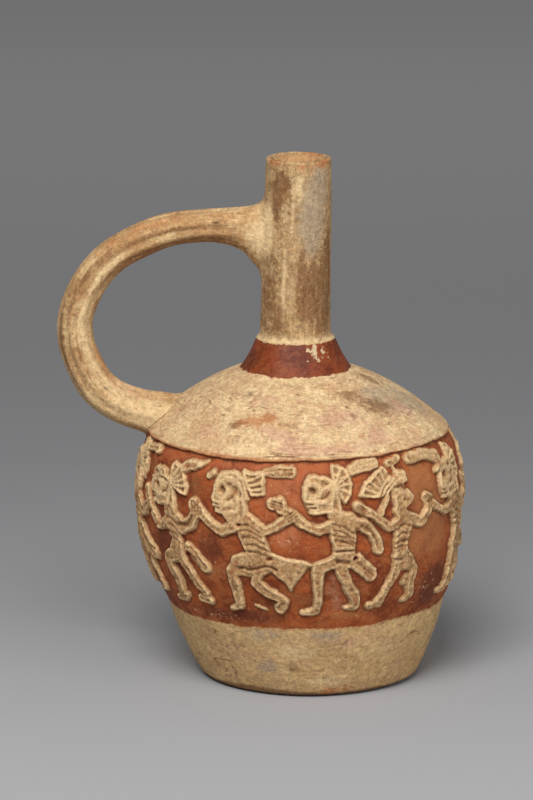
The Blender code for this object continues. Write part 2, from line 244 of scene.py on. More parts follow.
@dataclass(frozen=True)
class Plate:
    """A flat lay of clay with an outline whose corners are rounded."""

    outline: tuple[Pair, ...]
    relief: float = 1.5
    rounding: float = 0.7

    def reach(self) -> Box:
        """The plate's box on the strip."""
        return box_round(self.outline, self.rounding)

    def gap(self, u: Array, z: Array) -> Array:
        """Signed distance to the plate's edge.

        Args:
            u: Places along the strip.
            z: Heights.

        Returns:
            Millimetres outside the plate, negative inside it.
        """
        shape = np.broadcast(u, z).shape
        nearest = np.full(shape, FAR_OFF)
        inside = np.zeros(shape, bool)
        for a, b in zip(self.outline, self.outline[1:] + self.outline[:1]):
            nearest = np.minimum(nearest, off_run(a, b, u, z)[0])
            if a[1] != b[1]:
                crossing = a[0] + (z - a[1]) * (b[0] - a[0]) / (b[1] - a[1])
                inside ^= ((z < a[1]) != (z < b[1])) & (u < crossing)
        return np.where(inside, -nearest, nearest) - self.rounding


@dataclass(frozen=True)
class Groove:
    """A line scored into the clay."""

    joints: tuple[Pair, ...]
    half_width: float = 0.55
    depth: float = 0.7


@dataclass(frozen=True)
class Socket2D:
    """A hollow pressed in, such as an eye socket, with a raised rim round it."""

    centre: Pair
    half_width: float = 1.4
    half_height: float = 1.1
    depth: float = 1.3
    rim: float = 0.25


@dataclass(frozen=True)
class Fan:
    """A half-open fan: thin spokes and bands standing on a sunken leaf."""

    centre: Pair
    radius: float
    start: float
    end: float
    ribs: int = 6
    leaf_relief: float = 0.55
    spoke_relief: float = 1.6
    spoke_width: float = 0.55
    band: float = 0.56

    def spoke(self, share: float, heading: float) -> Pair:
        """A point on the fan from a share of its radius and a heading in degrees.

        Args:
            share: The share of the radius.
            heading: The heading.

        Returns:
            The point on the strip.
        """
        turn = math.radians(heading)
        far = share * self.radius
        return self.centre[0] + far * math.cos(turn), self.centre[1] + far * math.sin(turn)

    def leaf(self) -> Plate:
        """The sunken leaf between the spokes.

        Returns:
            One plate.
        """
        headings = np.linspace(self.start, self.end, 9)
        arc = tuple(self.spoke(0.97, heading) for heading in headings)
        return Plate((self.centre, *arc), self.leaf_relief, 0.5)

    def ridges(self) -> list[Limb]:
        """The spokes, the arc round their ends and a band across them.

        Returns:
            One stroke for each of them.
        """
        headings = np.linspace(self.start, self.end, self.ribs + 1)
        wide = self.spoke_width
        made = [
            Limb((self.spoke(0.06, turn), self.spoke(0.98, turn)), (wide, 1.1 * wide), self.spoke_relief)
            for turn in headings
        ]
        for share, width in ((0.97, wide), (self.band, 0.7 * wide)):
            arc = tuple(self.spoke(share, turn) for turn in headings)
            made.append(Limb(arc, (width,) * len(arc), self.spoke_relief - 0.15))
        return made


@dataclass(frozen=True)
class Skull:
    """A bare skull that looks left along the band under a cap: eye, cheek, nose, teeth, jaw and nape."""

    centre: Pair
    wide: float = 1.0
    high: float = 1.0
    relief: float = 1.25
    ridge: float = 1.8

    def place(self, ahead: float, above: float) -> Pair:
        """A point of the head.

        Args:
            ahead: Millimetres towards the face.
            above: Millimetres above the middle of the head.

        Returns:
            The point on the strip.
        """
        return self.centre[0] - ahead * self.wide, self.centre[1] + above * self.high

    def line(self, *points: Pair) -> tuple[Pair, ...]:
        """Points of the head as points on the strip."""
        return tuple(self.place(*point) for point in points)

    def plates(self) -> list[Plate]:
        """The skull with the cap, and the cloth that hangs behind the jaw.

        Returns:
            The two plates.
        """
        skull = self.line(
            (4.5, 4.9), (3.0, 6.7), (0.4, 7.6), (-3.2, 7.3), (-6.0, 6.0), (-6.7, 4.9), (-7.2, -0.6), (-6.0, -6.4),
            (0.1, -6.9), (3.8, -6.9), (3.7, -5.6), (4.7, -4.9), (5.2, -3.3), (5.8, -1.4), (5.5, 0.9), (4.7, 3.4),
        )
        nape = self.line((-6.2, 4.0), (-8.2, 0.0), (-9.2, -4.0), (-8.8, -7.4), (-5.6, -6.6))
        return [Plate(skull, self.relief, 0.35), Plate(nape, 0.95, 0.4)]

    def ridges(self) -> list[Limb]:
        """The raised lines: the cap's rims, brow, nose, cheek, lips, jaw and straps.

        Returns:
            One stroke for each line.
        """
        eighths = [k * math.pi / 4 for k in range(9)]
        lines = (
            ((0.5, 0.55, 0.55, 0.5, 0.5), ((4.4, 4.7), (2.9, 6.5), (0.4, 7.4), (-3.2, 7.1), (-6.2, 5.7))),
            ((0.45,) * 9, tuple((1.3 + 3.1 * math.cos(turn), 2.0 + 3.0 * math.sin(turn)) for turn in eighths)),
            ((0.8, 0.9, 0.9), ((4.9, 3.3), (5.1, 0.8), (5.4, -1.3))),
            ((0.9, 1.25, 1.0), ((4.6, -2.2), (0.8, -2.9), (-3.6, -3.0))),
            ((0.45, 0.5), ((-2.0, 2.4), (-6.5, 5.2))),
            ((0.5, 0.7), ((4.2, -4.1), (0.4, -4.5))),
            ((0.5, 0.6), ((3.4, -5.6), (0.2, -5.7))),
            ((0.6, 0.7, 0.7), ((3.5, -6.9), (0.0, -7.1), (-5.8, -6.5))),
            ((0.5, 0.6, 0.7, 0.8), ((-6.7, 5.0), (-8.3, -0.4), (-9.4, -3.8), (-9.2, -7.4))),
            ((0.4, 0.5, 0.5), ((-6.4, 4.6), (-6.4, 0.0), (-6.2, -5.2))),
        )
        return [Limb(self.line(*points), widths, self.ridge) for widths, points in lines]

    def grooves(self) -> list[Groove]:
        """The eye, the hollow of the cheek, the gaps between the lips and the ear.

        Returns:
            One groove for each of them.
        """
        return [
            Groove(self.line((1.9, 2.3), (1.0, 1.9)), 1.3, 1.6),
            Groove(self.line((-2.0, -1.5), (-3.8, -0.6), (-4.6, 1.6)), 0.6, 0.6),
            Groove(self.line((4.9, -3.2), (2.0, -3.5)), 0.32, 0.7),
            Groove(self.line((4.3, -4.9), (1.2, -5.1)), 0.32, 0.7),
            Groove(self.line((-2.6, 5.2), (-4.4, 4.6)), 0.7, 0.4),
        ]


@dataclass(frozen=True)
class Dancer:
    """One skeleton of the band. Its limbs and trunk have thick rims and sunken tops."""

    limbs: tuple[Limb, ...]
    skull: Skull | None = None
    fan: Fan | None = None
    plates: tuple[Plate, ...] = ()
    ridges: tuple[Limb, ...] = ()
    grooves: tuple[Groove, ...] = ()
    holes: tuple[Socket2D, ...] = ()

    def laid(self) -> list[Plate]:
        """The flat lays of clay.

        Returns:
            The plates, with those of the fan and the skull.
        """
        made = list(self.plates)
        if self.fan:
            made.append(self.fan.leaf())
        if self.skull:
            made += self.skull.plates()
        return made

    def lines(self) -> list[Limb]:
        """The thin raised lines.

        Returns:
            The ridges, with those of the fan and the skull.
        """
        made = list(self.ridges)
        if self.fan:
            made += self.fan.ridges()
        if self.skull:
            made += self.skull.ridges()
        return made

    def scored(self) -> list[Groove]:
        """Every scored line."""
        return [*self.grooves, *(self.skull.grooves() if self.skull else [])]


def strokes(relief: float, *lines: tuple[tuple[float, float, float], ...]) -> tuple[Limb, ...]:
    """Limbs of one relief, each by its joints and its half width at them."""
    return tuple(Limb(tuple(joint[:2] for joint in line), tuple(zip(*line))[2], relief) for line in lines)


def threads(width: float, relief: float, *lines: tuple[Pair, ...]) -> tuple[Limb, ...]:
    """Several thin raised lines of one width and relief."""
    return tuple(Limb(points, (width,) * len(points), relief) for points in lines)


def ribs(centres: tuple[Pair, ...], half_length: float, slope: float, depth: float = 0.75) -> tuple[Groove, ...]:
    """The gaps between the ribs of a chest.

    Args:
        centres: The middle of each gap.
        half_length: Half the length of a gap.
        slope: Heading of the gaps in degrees.
        depth: How deep they are.

    Returns:
        One bowed groove for each gap.
    """
    turn = math.radians(slope)
    x, y = half_length * math.cos(turn), half_length * math.sin(turn)
    made = []
    for u, z in centres:
        bow = 0.25 * half_length
        middle = (u - bow * math.sin(turn), z + bow * math.cos(turn))
        made.append(Groove(((u - x, z - y), middle, (u + x, z + y)), 0.38, 0.62 * depth))
    return tuple(made)


def fingers(palm: Pair, heading: float, length: float = 4.4, spread: float = 1.15) -> tuple[Groove, ...]:
    """The gaps between the fingers of a hand.

    Args:
        palm: The middle of the palm.
        heading: Which way the fingers point, in degrees from the band's length.
        length: Length of the gaps.
        spread: From one gap to the next.

    Returns:
        The gaps.
    """
    x, y = math.cos(math.radians(heading)), math.sin(math.radians(heading))
    gaps = []
    for side in (-1, 0, 1):
        u, z = palm[0] - side * spread * y, palm[1] + side * spread * x
        gaps.append(Groove(((u, z), (u + length * x, z + length * y)), 0.28, 0.75))
    return tuple(gaps)


def company() -> list[Dancer]:
    """The six skeletons of one half of the band, from left to right.

    Returns:
        One dancer for each skeleton.
    """
    return [
        Dancer(
            limbs=(
                *strokes(1.6, ((-94, 63, 4.4), (-94.5, 70, 3.6), (-95.5, 79, 4.4))),
                *strokes(
                    1.5, ((-96, 79, 2.4), (-104, 75.5, 2), (-111, 81, 2), (-115, 86, 2.4)),
                    ((-93, 79, 2.6), (-85, 73.5, 2.2), (-78, 80, 2.2)),
                    ((-95, 61, 2.8), (-99, 54, 2.2), (-97, 45, 2.1), (-98, 42, 2)),
                    ((-98, 41.8, 1.7), (-103, 41, 1.2)),
                    ((-92, 61, 2.8), (-84, 56.5, 2.2), (-79, 47, 2), (-77.5, 42.5, 1.9)),
                    ((-77.5, 42, 1.6), (-81.5, 41, 1.2)), ((-95, 79, 2.6), (-97.5, 84, 2.6)),
                    ((-86, 101, 1.6), (-76, 102.4, 2.1)),
                ),
                *strokes(1.4, ((-89, 66, 2.6), (-77.5, 57.5, 3.2))),
            ),
            skull=Skull((-101, 90)),
            fan=Fan((-94, 94.5), 9.4, -46, 86),
            grooves=(
                *fingers((-113.4, 84), 128),
                *ribs(((-94.3, 69.5), (-94.6, 72), (-95, 74.6), (-95.3, 77)), 3.4, 6),
                Groove(((-86, 65.2), (-78, 59.2)), 0.4, 0.6),
                Groove(((-87, 63.2), (-79.5, 57)), 0.4, 0.6),
                Groove(((-84, 101.3), (-77, 102.4)), 0.35, 0.5),
            ),
            holes=(Socket2D((-88.4, 63.6), 1.2, 1.3, 1.6, 0),),
        ),
        Dancer(
            limbs=(
                *strokes(1.6, ((-57.6, 63, 4.2), (-57.4, 68, 3), (-59.6, 74, 4.2), (-61.5, 79, 4))),
                *strokes(
                    1.5, ((-62, 77, 2.5), (-66.5, 73, 2.1), (-70, 72.2, 1.9), (-75, 77.5, 1.7), (-79, 80.5, 1.7)),
                    ((-60, 77.5, 3.2), (-53.6, 73.8, 3), (-48.6, 76.2, 2.8), (-45.5, 81, 2.3)),
                    ((-59, 61, 2.9), (-65.2, 58.5, 2.6), (-61.8, 50, 2.5), (-61.2, 43.5, 2.4)),
                    ((-57, 61.5, 2.7), (-52.2, 54.5, 2.1), (-46.8, 46.2, 2)),
                    ((-54.5, 98.4, 2), (-49, 100.2, 2.1), (-43.8, 102, 0.8)),
                ),
                *strokes(
                    1.3, ((-79, 80.5, 2), (-81, 84.5, 2.3)),
                    ((-65.8, 41, 1.3), (-61.5, 42, 2.2), (-58.4, 43.2, 1.1)),
                    ((-49.6, 42.4, 1.7), (-45.6, 43, 1.8)), ((-73.5, 93.8, 2.2), (-67, 94.6, 2.1)),
                ),
                *strokes(1.4, ((-45.8, 81, 2.2), (-47.4, 84.8, 2.4)), ((-51, 65.6, 2.4), (-42.8, 58.6, 2.9))),
            ),
            skull=Skull((-69.4, 87.2), 1.12, 0.82),
            fan=Fan((-61.8, 90.4), 9.6, -16, 84, 5),
            ridges=threads(
                0.6, 1.7, ((-76, 91.4), (-68, 90.6), (-61.5, 89)), ((-72.8, 95.9), (-67, 93.4), (-61.6, 89.4)),
            ),
            grooves=(
                *fingers((-45.8, 81.8), 108),
                *ribs(((-57.6, 67.2), (-58.2, 70), (-59.2, 72.6), (-60.4, 75.2)), 3.6, -14),
                Groove(((-49.6, 66), (-42.8, 60)), 0.4, 0.6),
                Groove(((-51, 63.4), (-44.6, 57.8)), 0.4, 0.6),
                Groove(((-56, 74.6), (-51, 75), (-47.6, 79)), 0.7, 0.6),
                Groove(((-61.4, 88), (-61.2, 80.5)), 0.5, 0.5),
            ),
            holes=(Socket2D((-52.2, 62.4), 1.5, 1.4, 1.8, 0.1),),
        ),
        Dancer(
            limbs=(
                *strokes(1.6, ((-17.6, 63.5, 5.2), (-18.8, 68.5, 5.2), (-20.4, 74, 5.6), (-22.8, 79.5, 4.2))),
                *strokes(
                    1.5, ((-25.5, 78.4, 2.6), (-33, 75, 2.2), (-38.5, 78, 1.9), (-45.5, 83.4, 2.2)),
                    ((-20.6, 79.6, 2.8), (-15.2, 76.8, 2.2), (-10, 79, 2), (-4.6, 83.4, 2.2)),
                    ((-21, 62.2, 3), (-26.5, 61.4, 3.2), (-31, 58.6, 2.1), (-28.9, 51, 2.1), (-29.8, 44, 2.1)),
                    ((-18.6, 59.5, 2.8), (-20, 54.6, 2.3), (-16, 50.2, 2.5), (-8.6, 46.6, 2.2), (-11.2, 42.6, 2.4)),
                    ((-29.6, 84, 3.2), (-25.6, 80, 3.6)), ((-17.4, 60.6, 2.6), (-12, 62.2, 2.4)),
                ),
                *strokes(1.3, ((-29.6, 42.8, 1.8), (-34.2, 41.2, 1.2))),
                *strokes(1.45, ((-24.4, 90, 1.8), (-24.4, 82, 2.4))),
                *strokes(1.4, ((-15.6, 99.5, 1.4), (-9, 100.9, 2.1), (-3.4, 100.2, 2.3))),
                *strokes(1.75, ((-28.6, 62.8, 2.3), (-24.2, 64.4, 2.3))),
                *strokes(0.35, ((-22, 43, 0.5), (-17.4, 41.9, 0.6))),
                *strokes(1.2, ((-41, 97, 1.2), (-38.6, 98.6, 1.3))),
            ),
            skull=Skull((-32.8, 90.4), 1.02, 1),
            plates=(
                Plate(
                    ((-25.6, 100), (-16.6, 99.2), (-15.9, 98), (-15.7, 91.5), (-20.4, 91.3), (-22.8, 95.4)), 0.55,
                    0.4,
                ),
                Plate(
                    ((-37.6, 95.4), (-35.4, 98.6), (-29.4, 99.8), (-24.8, 98.4), (-22.6, 93), (-25.4, 88.4)), 1.1,
                    0.5,
                ),
                Plate(
                    ((-29.2, 63.4), (-22, 65.8), (-12, 66.6), (-10.6, 61.4), (-15.6, 57.6), (-28.6, 57)), 1.2, 0.6,
                ),
                Plate(
                    ((-13, 66.2), (-7.4, 65.2), (2.4, 61.8), (-4.8, 51.4), (-8.6, 55.8), (-12.8, 58.8)), 1.2, 0.5,
                ),
            ),
            ridges=(
                *threads(
                    0.6, 1.75, ((-25.2, 100.4), (-22.9, 95.8), (-20.3, 91.4)), ((-22.4, 97.2), (-15.9, 98.8)),
                    ((-21.4, 95.1), (-15.7, 96.1)), ((-20.6, 93.2), (-15.5, 93.5)), ((-20.3, 91.5), (-15.6, 91.4)),
                    ((-25, 100.2), (-16.4, 99.3)), ((-16.1, 99.2), (-15.7, 91.5)),
                ),
                *threads(
                    0.55, 1.8, ((-37, 95.6), (-33.4, 98.8), (-28.4, 99.4), (-24.8, 97), (-22.2, 89.6)),
                    ((-36.7, 94), (-31.6, 97.4), (-26.6, 96.6)), ((-12.6, 66.8), (-5, 65), (3.6, 62.2)),
                    ((-30.8, 96.2), (-26.4, 94.6), (-24.2, 91.2)),
                ),
            ),
            grooves=(
                *fingers((-43, 81.4), 138),
                *fingers((-6.4, 82), 36),
                *ribs(((-18.4, 66.6), (-19, 69.4), (-19.8, 72.2), (-20.8, 74.8), (-21.8, 77.2)), 4.8, -10, 0.85),
                Groove(((-31.6, 94.2), (-28, 92.8), (-25.6, 90.6)), 1.2, 0.75),
                Groove(((-14, 100.4), (-8.8, 101.8), (-2.4, 101)), 0.3, 0.5),
                Groove(((-14, 99), (-8.6, 100), (-2.2, 99.2)), 0.3, 0.5),
                Groove(((-23.4, 60.2), (-15.6, 61.4), (-11, 60)), 0.7, 0.85),
                Groove(((-27.6, 60.4), (-24, 61)), 0.6, 0.7),
            ),
            holes=(
                Socket2D((-13.4, 64.8), 1.4, 0.9, 1.1, 0),
                Socket2D((-25.9, 78.6), 0.9, 0.7, 1, 0),
            ),
        ),
        Dancer(
            limbs=(
                *strokes(1.6, ((17, 63.6, 4.6), (17.4, 68.6, 4.3), (17.2, 74, 5.4), (17, 79.2, 5.2))),
                *strokes(
                    1.5, ((13.6, 79.2, 2.6), (6.8, 77.2, 2), (1.8, 79.4, 1.9), (-4.6, 84, 2), (-8, 86, 2.3)),
                    ((19, 80.6, 3), (25, 79, 2.6), (29.2, 74.6, 2.2), (31.9, 70, 2.1), (32.5, 66.8, 2.1)),
                    ((15, 63.2, 3.2), (6.8, 61.6, 2.6), (5.5, 54, 2), (5.3, 43.6, 2.1)),
                    ((15.8, 60.8, 2.8), (18.8, 53.4, 2.4), (22.4, 47.6, 2.2), (23, 43.4, 2.1)),
                    ((13.4, 83.6, 3), (20, 81.8, 2.8)),
                ),
                *strokes(1.4, ((-12, 87.8, 2.3), (-8.6, 88.4, 2.5)), ((4.9, 41.9, 2.1), (-1.6, 41.2, 1.3))),
                *strokes(
                    1.2, ((22.4, 42.6, 1.5), (18.4, 42.9, 1.1)),
                    ((21.8, 100.2, 1.8), (28.5, 101.8, 2.2), (33.6, 102.8, 2.1)),
                ),
                *strokes(1.3, ((21.8, 63.2, 2.9), (29.4, 56.4, 2.9))),
            ),
            skull=Skull((6.8, 91.6)),
            fan=Fan((14, 95), 8.2, -54, 84, 5),
            ridges=threads(
                0.5, 1.75, ((22, 101.8), (28.2, 103.6), (34.4, 104.8)),
                ((22.6, 98.8), (28.8, 100.2), (34.8, 101.2)), ((22, 100.3), (28.4, 101.9), (34.8, 103)),
                ((24, 65.6), (31.8, 58.2)), ((20.2, 61.2), (28, 54.4)), ((13.2, 68.9), (20.8, 69)),
                ((13, 66.6), (20.8, 66.8)),
            ),
            grooves=(
                *fingers((-8.2, 87.2), 168),
                *ribs(((18.2, 70.4), (17.8, 72.8), (17.4, 75.2), (17, 77.8)), 5, -24, 0.9),
                Groove(((13.4, 67.8), (20.8, 67.9)), 0.5, 0.8),
                Groove(((14.8, 63), (19.4, 62.8)), 1.2, 0.8),
                Groove(((23, 62.6), (30, 56.4)), 0.4, 0.4),
                Groove(((24.8, 78.8), (29.4, 74.2), (31.4, 69)), 0.6, 0.5),
            ),
            holes=(Socket2D((22.4, 64.5), 1.15, 1, 1.8, 0.1),),
        ),
        Dancer(
            limbs=(
                *strokes(1.6, ((45, 61.5, 4.4), (43.4, 66, 3.3), (43.2, 71, 3.6), (44.8, 77, 4))),
                *strokes(
                    1.5, ((43.4, 77.4, 2.3), (37, 76, 1.9), (30.4, 81.6, 1.9), (23.8, 86.6, 2.3)),
                    ((46, 79, 2.4), (54.6, 76.6, 2), (59.5, 79.4, 2.1), (61.5, 84, 2.4)),
                    ((43.8, 60.4, 2.8), (41.6, 56.6, 2.2), (37, 50, 2), (33.8, 44.2, 2.1)),
                    ((47.6, 61, 2.8), (51.8, 56.2, 2.1), (49.6, 50, 2.3), (50.4, 44.6, 1.9)),
                    ((43, 83, 3.2), (45, 79, 3)),
                ),
                *strokes(1.3, ((34, 42.6, 2), (30, 42.2, 1.4))),
                *strokes(1.2, ((50.2, 44, 1.6), (47.6, 42.6, 1.4))),
                *strokes(1, ((47.6, 53.4, 1.4), (46.6, 50.8, 1.6))),
                *strokes(1.35, ((37.2, 88.9, 1.5), (35, 84.8, 1.2), (33.9, 81.8, 1.1))),
                *strokes(1.4, ((40.6, 101.4, 1.6), (46.4, 103, 1.7))),
                *strokes(1.7, ((42.8, 63, 3.2), (45.8, 59.4, 2.8))),
            ),
            plates=(
                Plate(
                    ((25.6, 90.7), (28.3, 95), (32.2, 98.2), (37, 99.6), (38.6, 97.9), (40.3, 96), (36.3, 90.2)),
                    0.55, 0.3,
                ),
                Plate(((39, 95), (44, 96.4), (47, 93.2), (47.2, 89.8), (40.5, 88.8)), 1.1, 0.5),
                Plate(
                    ((40.2, 88.2), (45.2, 89.8), (48.4, 89.4), (50.2, 87.4), (49.8, 84.6), (46.4, 83),
                    (41.4, 83.4)), 1.5, 0.5,
                ),
                Plate(((43.2, 98.2), (48.6, 97), (49, 93.8), (45.8, 93.4), (43.8, 95.6)), 1.4, 0.5),
            ),
            ridges=threads(
                0.55, 1.7, ((25.4, 90.6), (28.1, 95.1), (32.1, 98.4), (37, 99.9), (38.9, 97.9)),
                ((25.4, 90.5), (33.6, 90)), ((26.8, 93), (33.2, 91)), ((29.4, 96.2), (34.6, 92.2)),
                ((32.3, 98.2), (36.4, 93.4)), ((35.2, 99.4), (38, 94.6)), ((32.9, 90.5), (40.2, 96.2)),
                ((34.9, 90.2), (41.6, 95.2)), ((37, 89.8), (43.2, 94.4)), ((42.2, 100.4), (44, 96.8)),
                ((40, 92.6), (44, 90.6)), ((44.6, 95.4), (48.4, 96.4)),
            ),
            grooves=(
                *fingers((26.6, 84.2), 143),
                *fingers((60.6, 81.2), 68),
                *ribs(((43.3, 67.6), (43.2, 70), (43.4, 72.4), (43.9, 74.8)), 3.8, 8, 0.85),
                Groove(((40.4, 62), (44.4, 61.2)), 0.7, 0.8),
                Groove(((46.2, 92.2), (47.4, 89.8)), 0.6, 1),
                Groove(((41.4, 92.2), (44.8, 92)), 0.9, 0.6),
                Groove(((45.6, 86.2), (48.6, 86)), 0.3, 0.4),
                Groove(((41, 101.6), (46, 103)), 0.32, 0.5),
            ),
        ),
        Dancer(
            limbs=(
                *strokes(1.6, ((83.4, 62, 4.4), (84, 68, 3.5), (84, 74, 4.2), (82.6, 80, 4))),
                *strokes(
                    1.5, ((80.6, 79, 2.4), (72.4, 76.6, 2), (64.6, 80.6, 1.9), (59.4, 85, 2.2)),
                    ((85, 79.4, 2.5), (93, 75.6, 2.1), (99.4, 80.8, 2.1)),
                    ((81, 61, 2.9), (79.4, 52, 2.2), (79, 44.4, 2.1)), ((85, 61, 2.8), (88, 51, 2.2), (87, 44, 2)),
                    ((78, 84.6, 2.8), (81, 80, 2.9)), ((71.2, 99.8, 2.6), (71.8, 96.8, 1.8), (68, 94.6, 1.1)),
                ),
                *strokes(1.3, ((78.6, 42, 1.9), (73.6, 41.4, 1.3))),
                *strokes(1.2, ((86.6, 42.6, 1.5), (83.4, 41.8, 1.1))),
                *strokes(
                    1.4, ((88.6, 64.6, 2.5), (97, 57.6, 2.9)),
                    ((52.2, 101.6, 1.9), (58, 101.9, 2.2), (64.6, 101.8, 2.4), (70.6, 100.2, 2.9)),
                ),
            ),
            skull=Skull((75.9, 89.8), 1.04, 0.97),
            fan=Fan((81.4, 94), 9, -46, 90, 5),
            ridges=threads(
                0.5, 1.75, ((52, 103), (58, 103.6), (65, 103.8), (72, 102.4)),
                ((52, 100.2), (58, 100.2), (64.6, 99.8)), ((60, 101.8), (67, 101.6), (73, 99.6), (73.6, 96.6)),
            ),
            grooves=(
                *fingers((61.4, 83), 138),
                *ribs(((83.8, 68.6), (84, 71.2), (83.8, 73.8), (83.4, 76.4)), 3.9, -8),
                Groove(((90, 64.6), (97, 58.8)), 0.4, 0.6),
                Groove(((88.8, 62.8), (95.6, 57)), 0.4, 0.6),
            ),
            holes=(Socket2D((88.2, 62.2), 1.2, 1.2, 1.6, 0),),
        ),
    ]


# The stains and worn places that stand out, with a painted shadow round the foot (the last dark row of the pot)
# and a painted sheen along the top of the band (the first rose row): the middle, half its width and height, and
# the share. On the pot the middle is the turn times the belly's radius and the height, and on the handle the
# length and the angle.
POT_STAINS: dict[Tint, tuple[Row, ...]] = {
    Tint.BROWN: (
        (-40, 210, 24, 9, 1.1), (-48, 198, 12, 7, 0.6), (-64, 164, 28, 16, 0.85), (-30, 152, 16, 8, 0.6),
        (42, 164, 44, 18, 1.1), (74, 176, 14, 26, 0.7), (10, 172, 8, 16, 0.6), (-34, 116.4, 7, 1.6, 0.7),
        (-37, 115.2, 4, 1.4, 0.5), (58, 120, 15, 3.6, 0.85), (44, 125, 12, 2.2, 0.7), (-6, 117, 10, 1.2, 0.6),
        (91, 127, 10, 4, 0.75), (0, 0.8, 900, 1.7, 0.9), (-34, 1.6, 26, 2.2, 0.8), (62, 80, 7, 8, 0.6),
        (-48, 92, 6, 9, 0.6), (-30, 56, 6, 9, 0.6), (0, 46, 9, 6, 0.5),
    ),
    Tint.GREY: (
        (30, 194, 34, 19, 1), (52, 212, 26, 9, 0.7), (66, 122, 18, 6, 0.8), (96, 118, 16, 8, 0.8),
        (-21.6, 29.4, 12, 3.4, 0.9), (9.7, 29.7, 10, 3, 0.9), (-22.4, 14.1, 10, 3.6, 0.8), (13, 51, 5, 9, 0.55),
    ),
    Tint.PALE: (
        (-66, 190, 16, 15, 1), (-25, 164, 6, 22, 0.9), (2, 210, 12, 9, 0.8), (-12, 196, 6, 14, 0.6),
        (36, 193, 4, 2.6, 1), (41, 169, 4, 6, 1), (52, 156, 4, 6.5, 1), (0, 144.6, 900, 1.5, 0.9),
        (-24, 108.4, 11, 2.6, 1), (-41, 121.5, 5, 4, 0.9), (15, 112, 8, 2.6, 0.9), (52, 112, 8, 3, 0.8),
        (0, 129.5, 60, 0.9, 0.8), (-6, 22, 14, 5, 0.7), (10, 8, 18, 3.4, 0.7), (42, 20, 10, 6, 0.6),
        (62, 46, 9, 8, 1), (-7, 73, 5, 3, 0.9), (-8, 92, 4, 3, 0.9), (-46, 36, 26, 2, 1), (24, 38, 3, 1.4, 1.1),
        (-42, 70, 5, 4, 0.7),
    ),
    Tint.ORANGE: (
        (62, 219.6, 22, 1.6, 1.1), (-60, 219.4, 22, 1.6, 0.9), (10, 218.2, 46, 1.2, 0.7), (176, 219.6, 40, 2, 0.8),
        (-27, 117.2, 12, 2.2, 0.8), (-17, 119.2, 6, 1.4, 0.8), (33.7, 112.4, 1.5, 1.3, 1), (0, 104.9, 900, 1, 1),
        (22.6, 3.9, 5, 1.5, 1.2), (11.1, 2.4, 6.5, 1.3, 1.1), (64, 74, 12, 15, 1.3), (57, 92, 8, 9, 1.1),
        (50, 66, 4, 12, 0.7), (-40, 56, 8, 6, 0.7), (18, 39, 12, 3.2, 0.7), (-10, 94, 16, 7, 0.5),
        (-6, 80, 12, 10, 0.6),
    ),
    Tint.DARK: (
        (-40.6, 125.3, 2.2, 0.9, 0.95), (-56, 126.8, 1.3, 0.7, 0.8), (26.4, 121.4, 1.3, 0.7, 0.8),
        (1.8, 120.8, 1.8, 0.5, 0.8), (-11.7, 122.2, 1.3, 0.5, 0.7), (35.2, 118.8, 1.2, 0.5, 0.8),
        (33.7, 111.6, 0.8, 0.8, 0.6), (-6.7, 18.7, 1.6, 0.4, 0.8), (-2.4, 18.5, 1.4, 0.35, 0.7),
        (-8.7, 13.4, 3, 0.5, 0.95), (-0.4, 12, 1.2, 0.5, 0.8), (6.7, 13.8, 1, 0.5, 0.8),
        (-22.4, 18.1, 0.9, 0.7, 0.8), (-45.2, 7, 0.9, 2.8, 0.9), (-39.7, 25, 1.1, 1.3, 0.6),
        # Painted shadow all round where the foot meets the floor.
        (0, -0.3, 900, 1.5, 1.3),
    ),
    Tint.PINK: (
        (-9.5, 113.4, 9, 1.7, 1), (-16, 115.2, 5, 1, 0.8), (-3, 110.6, 4, 1.8, 0.9), (-31.8, 112.1, 3, 1.3, 0.9),
        (27, 119, 22, 3.6, 0.75), (8, 108.6, 30, 2.2, 0.8), (44, 112, 16, 3.4, 0.75), (-26, 124, 12, 3, 0.6),
        (-50, 113, 10, 5, 0.5), (76, 118, 7, 4.2, 0.95), (22.4, 25.5, 9, 5, 0.6), (-59.1, 28.6, 14, 3.2, 0.6),
        (-6, 72, 7, 4, 0.5), (14, 44, 5, 6, 0.6),
    ),
    Tint.MAROON: (
        (70, 46, 14, 10, 1.2), (-40, 66, 8, 8, 0.9), (-66, 66, 10, 16, 0.8), (-30, 38, 30, 3.4, 0.8),
        (-34, 90, 7, 5, 0.6),
    ),
    # The first rose row is a painted sheen all round the top of the band; the others are stains.
    Tint.ROSE: ((0, 102, 900, 4.4, 0.55), (-8, 92, 15, 9, 0.8), (-6, 74, 9, 7, 0.6), (32, 92, 8, 8, 0.5)),
}
HANDLE_STAINS: dict[Tint, tuple[Row, ...]] = {
    Tint.BROWN: (
        (72, 0.72, 22, 0.34, 1.1), (34, 0.66, 22, 0.32, 1.1), (52, 1.75, 26, 0.2, 0.7), (92, 2, 22, 0.22, 0.7),
        (118, 2.55, 20, 0.3, 0.8), (124, 1.5, 16, 0.14, 0.6),
    ),
    Tint.ORANGE: ((60, 2.45, 26, 0.45, 0.5),),
    Tint.PALE: (
        (112, 1, 30, 0.42, 0.9), (80, 1.36, 14, 0.22, 0.8), (166, 1.5, 20, 0.9, 1), (12, 1.6, 10, 0.8, 0.9),
    ),
    Tint.PINK: ((150, 0.6, 16, 0.5, 0.6),),
    Tint.DARK: ((31, 1.9, 1.1, 0.13, 1.2), (142, 1.2, 0.9, 0.07, 0.9), (151, 1.1, 0.9, 0.07, 0.8)),
}


def stains() -> list[Mark]:
    """Every mark, first those of the pot and then those of the handle; the pot's include a painted shadow and sheen.
    """
    tables = ((POT_STAINS, False), (HANDLE_STAINS, True))
    return [Mark(tint, *row, held) for table, held in tables for tint, rows in table.items() for row in rows]


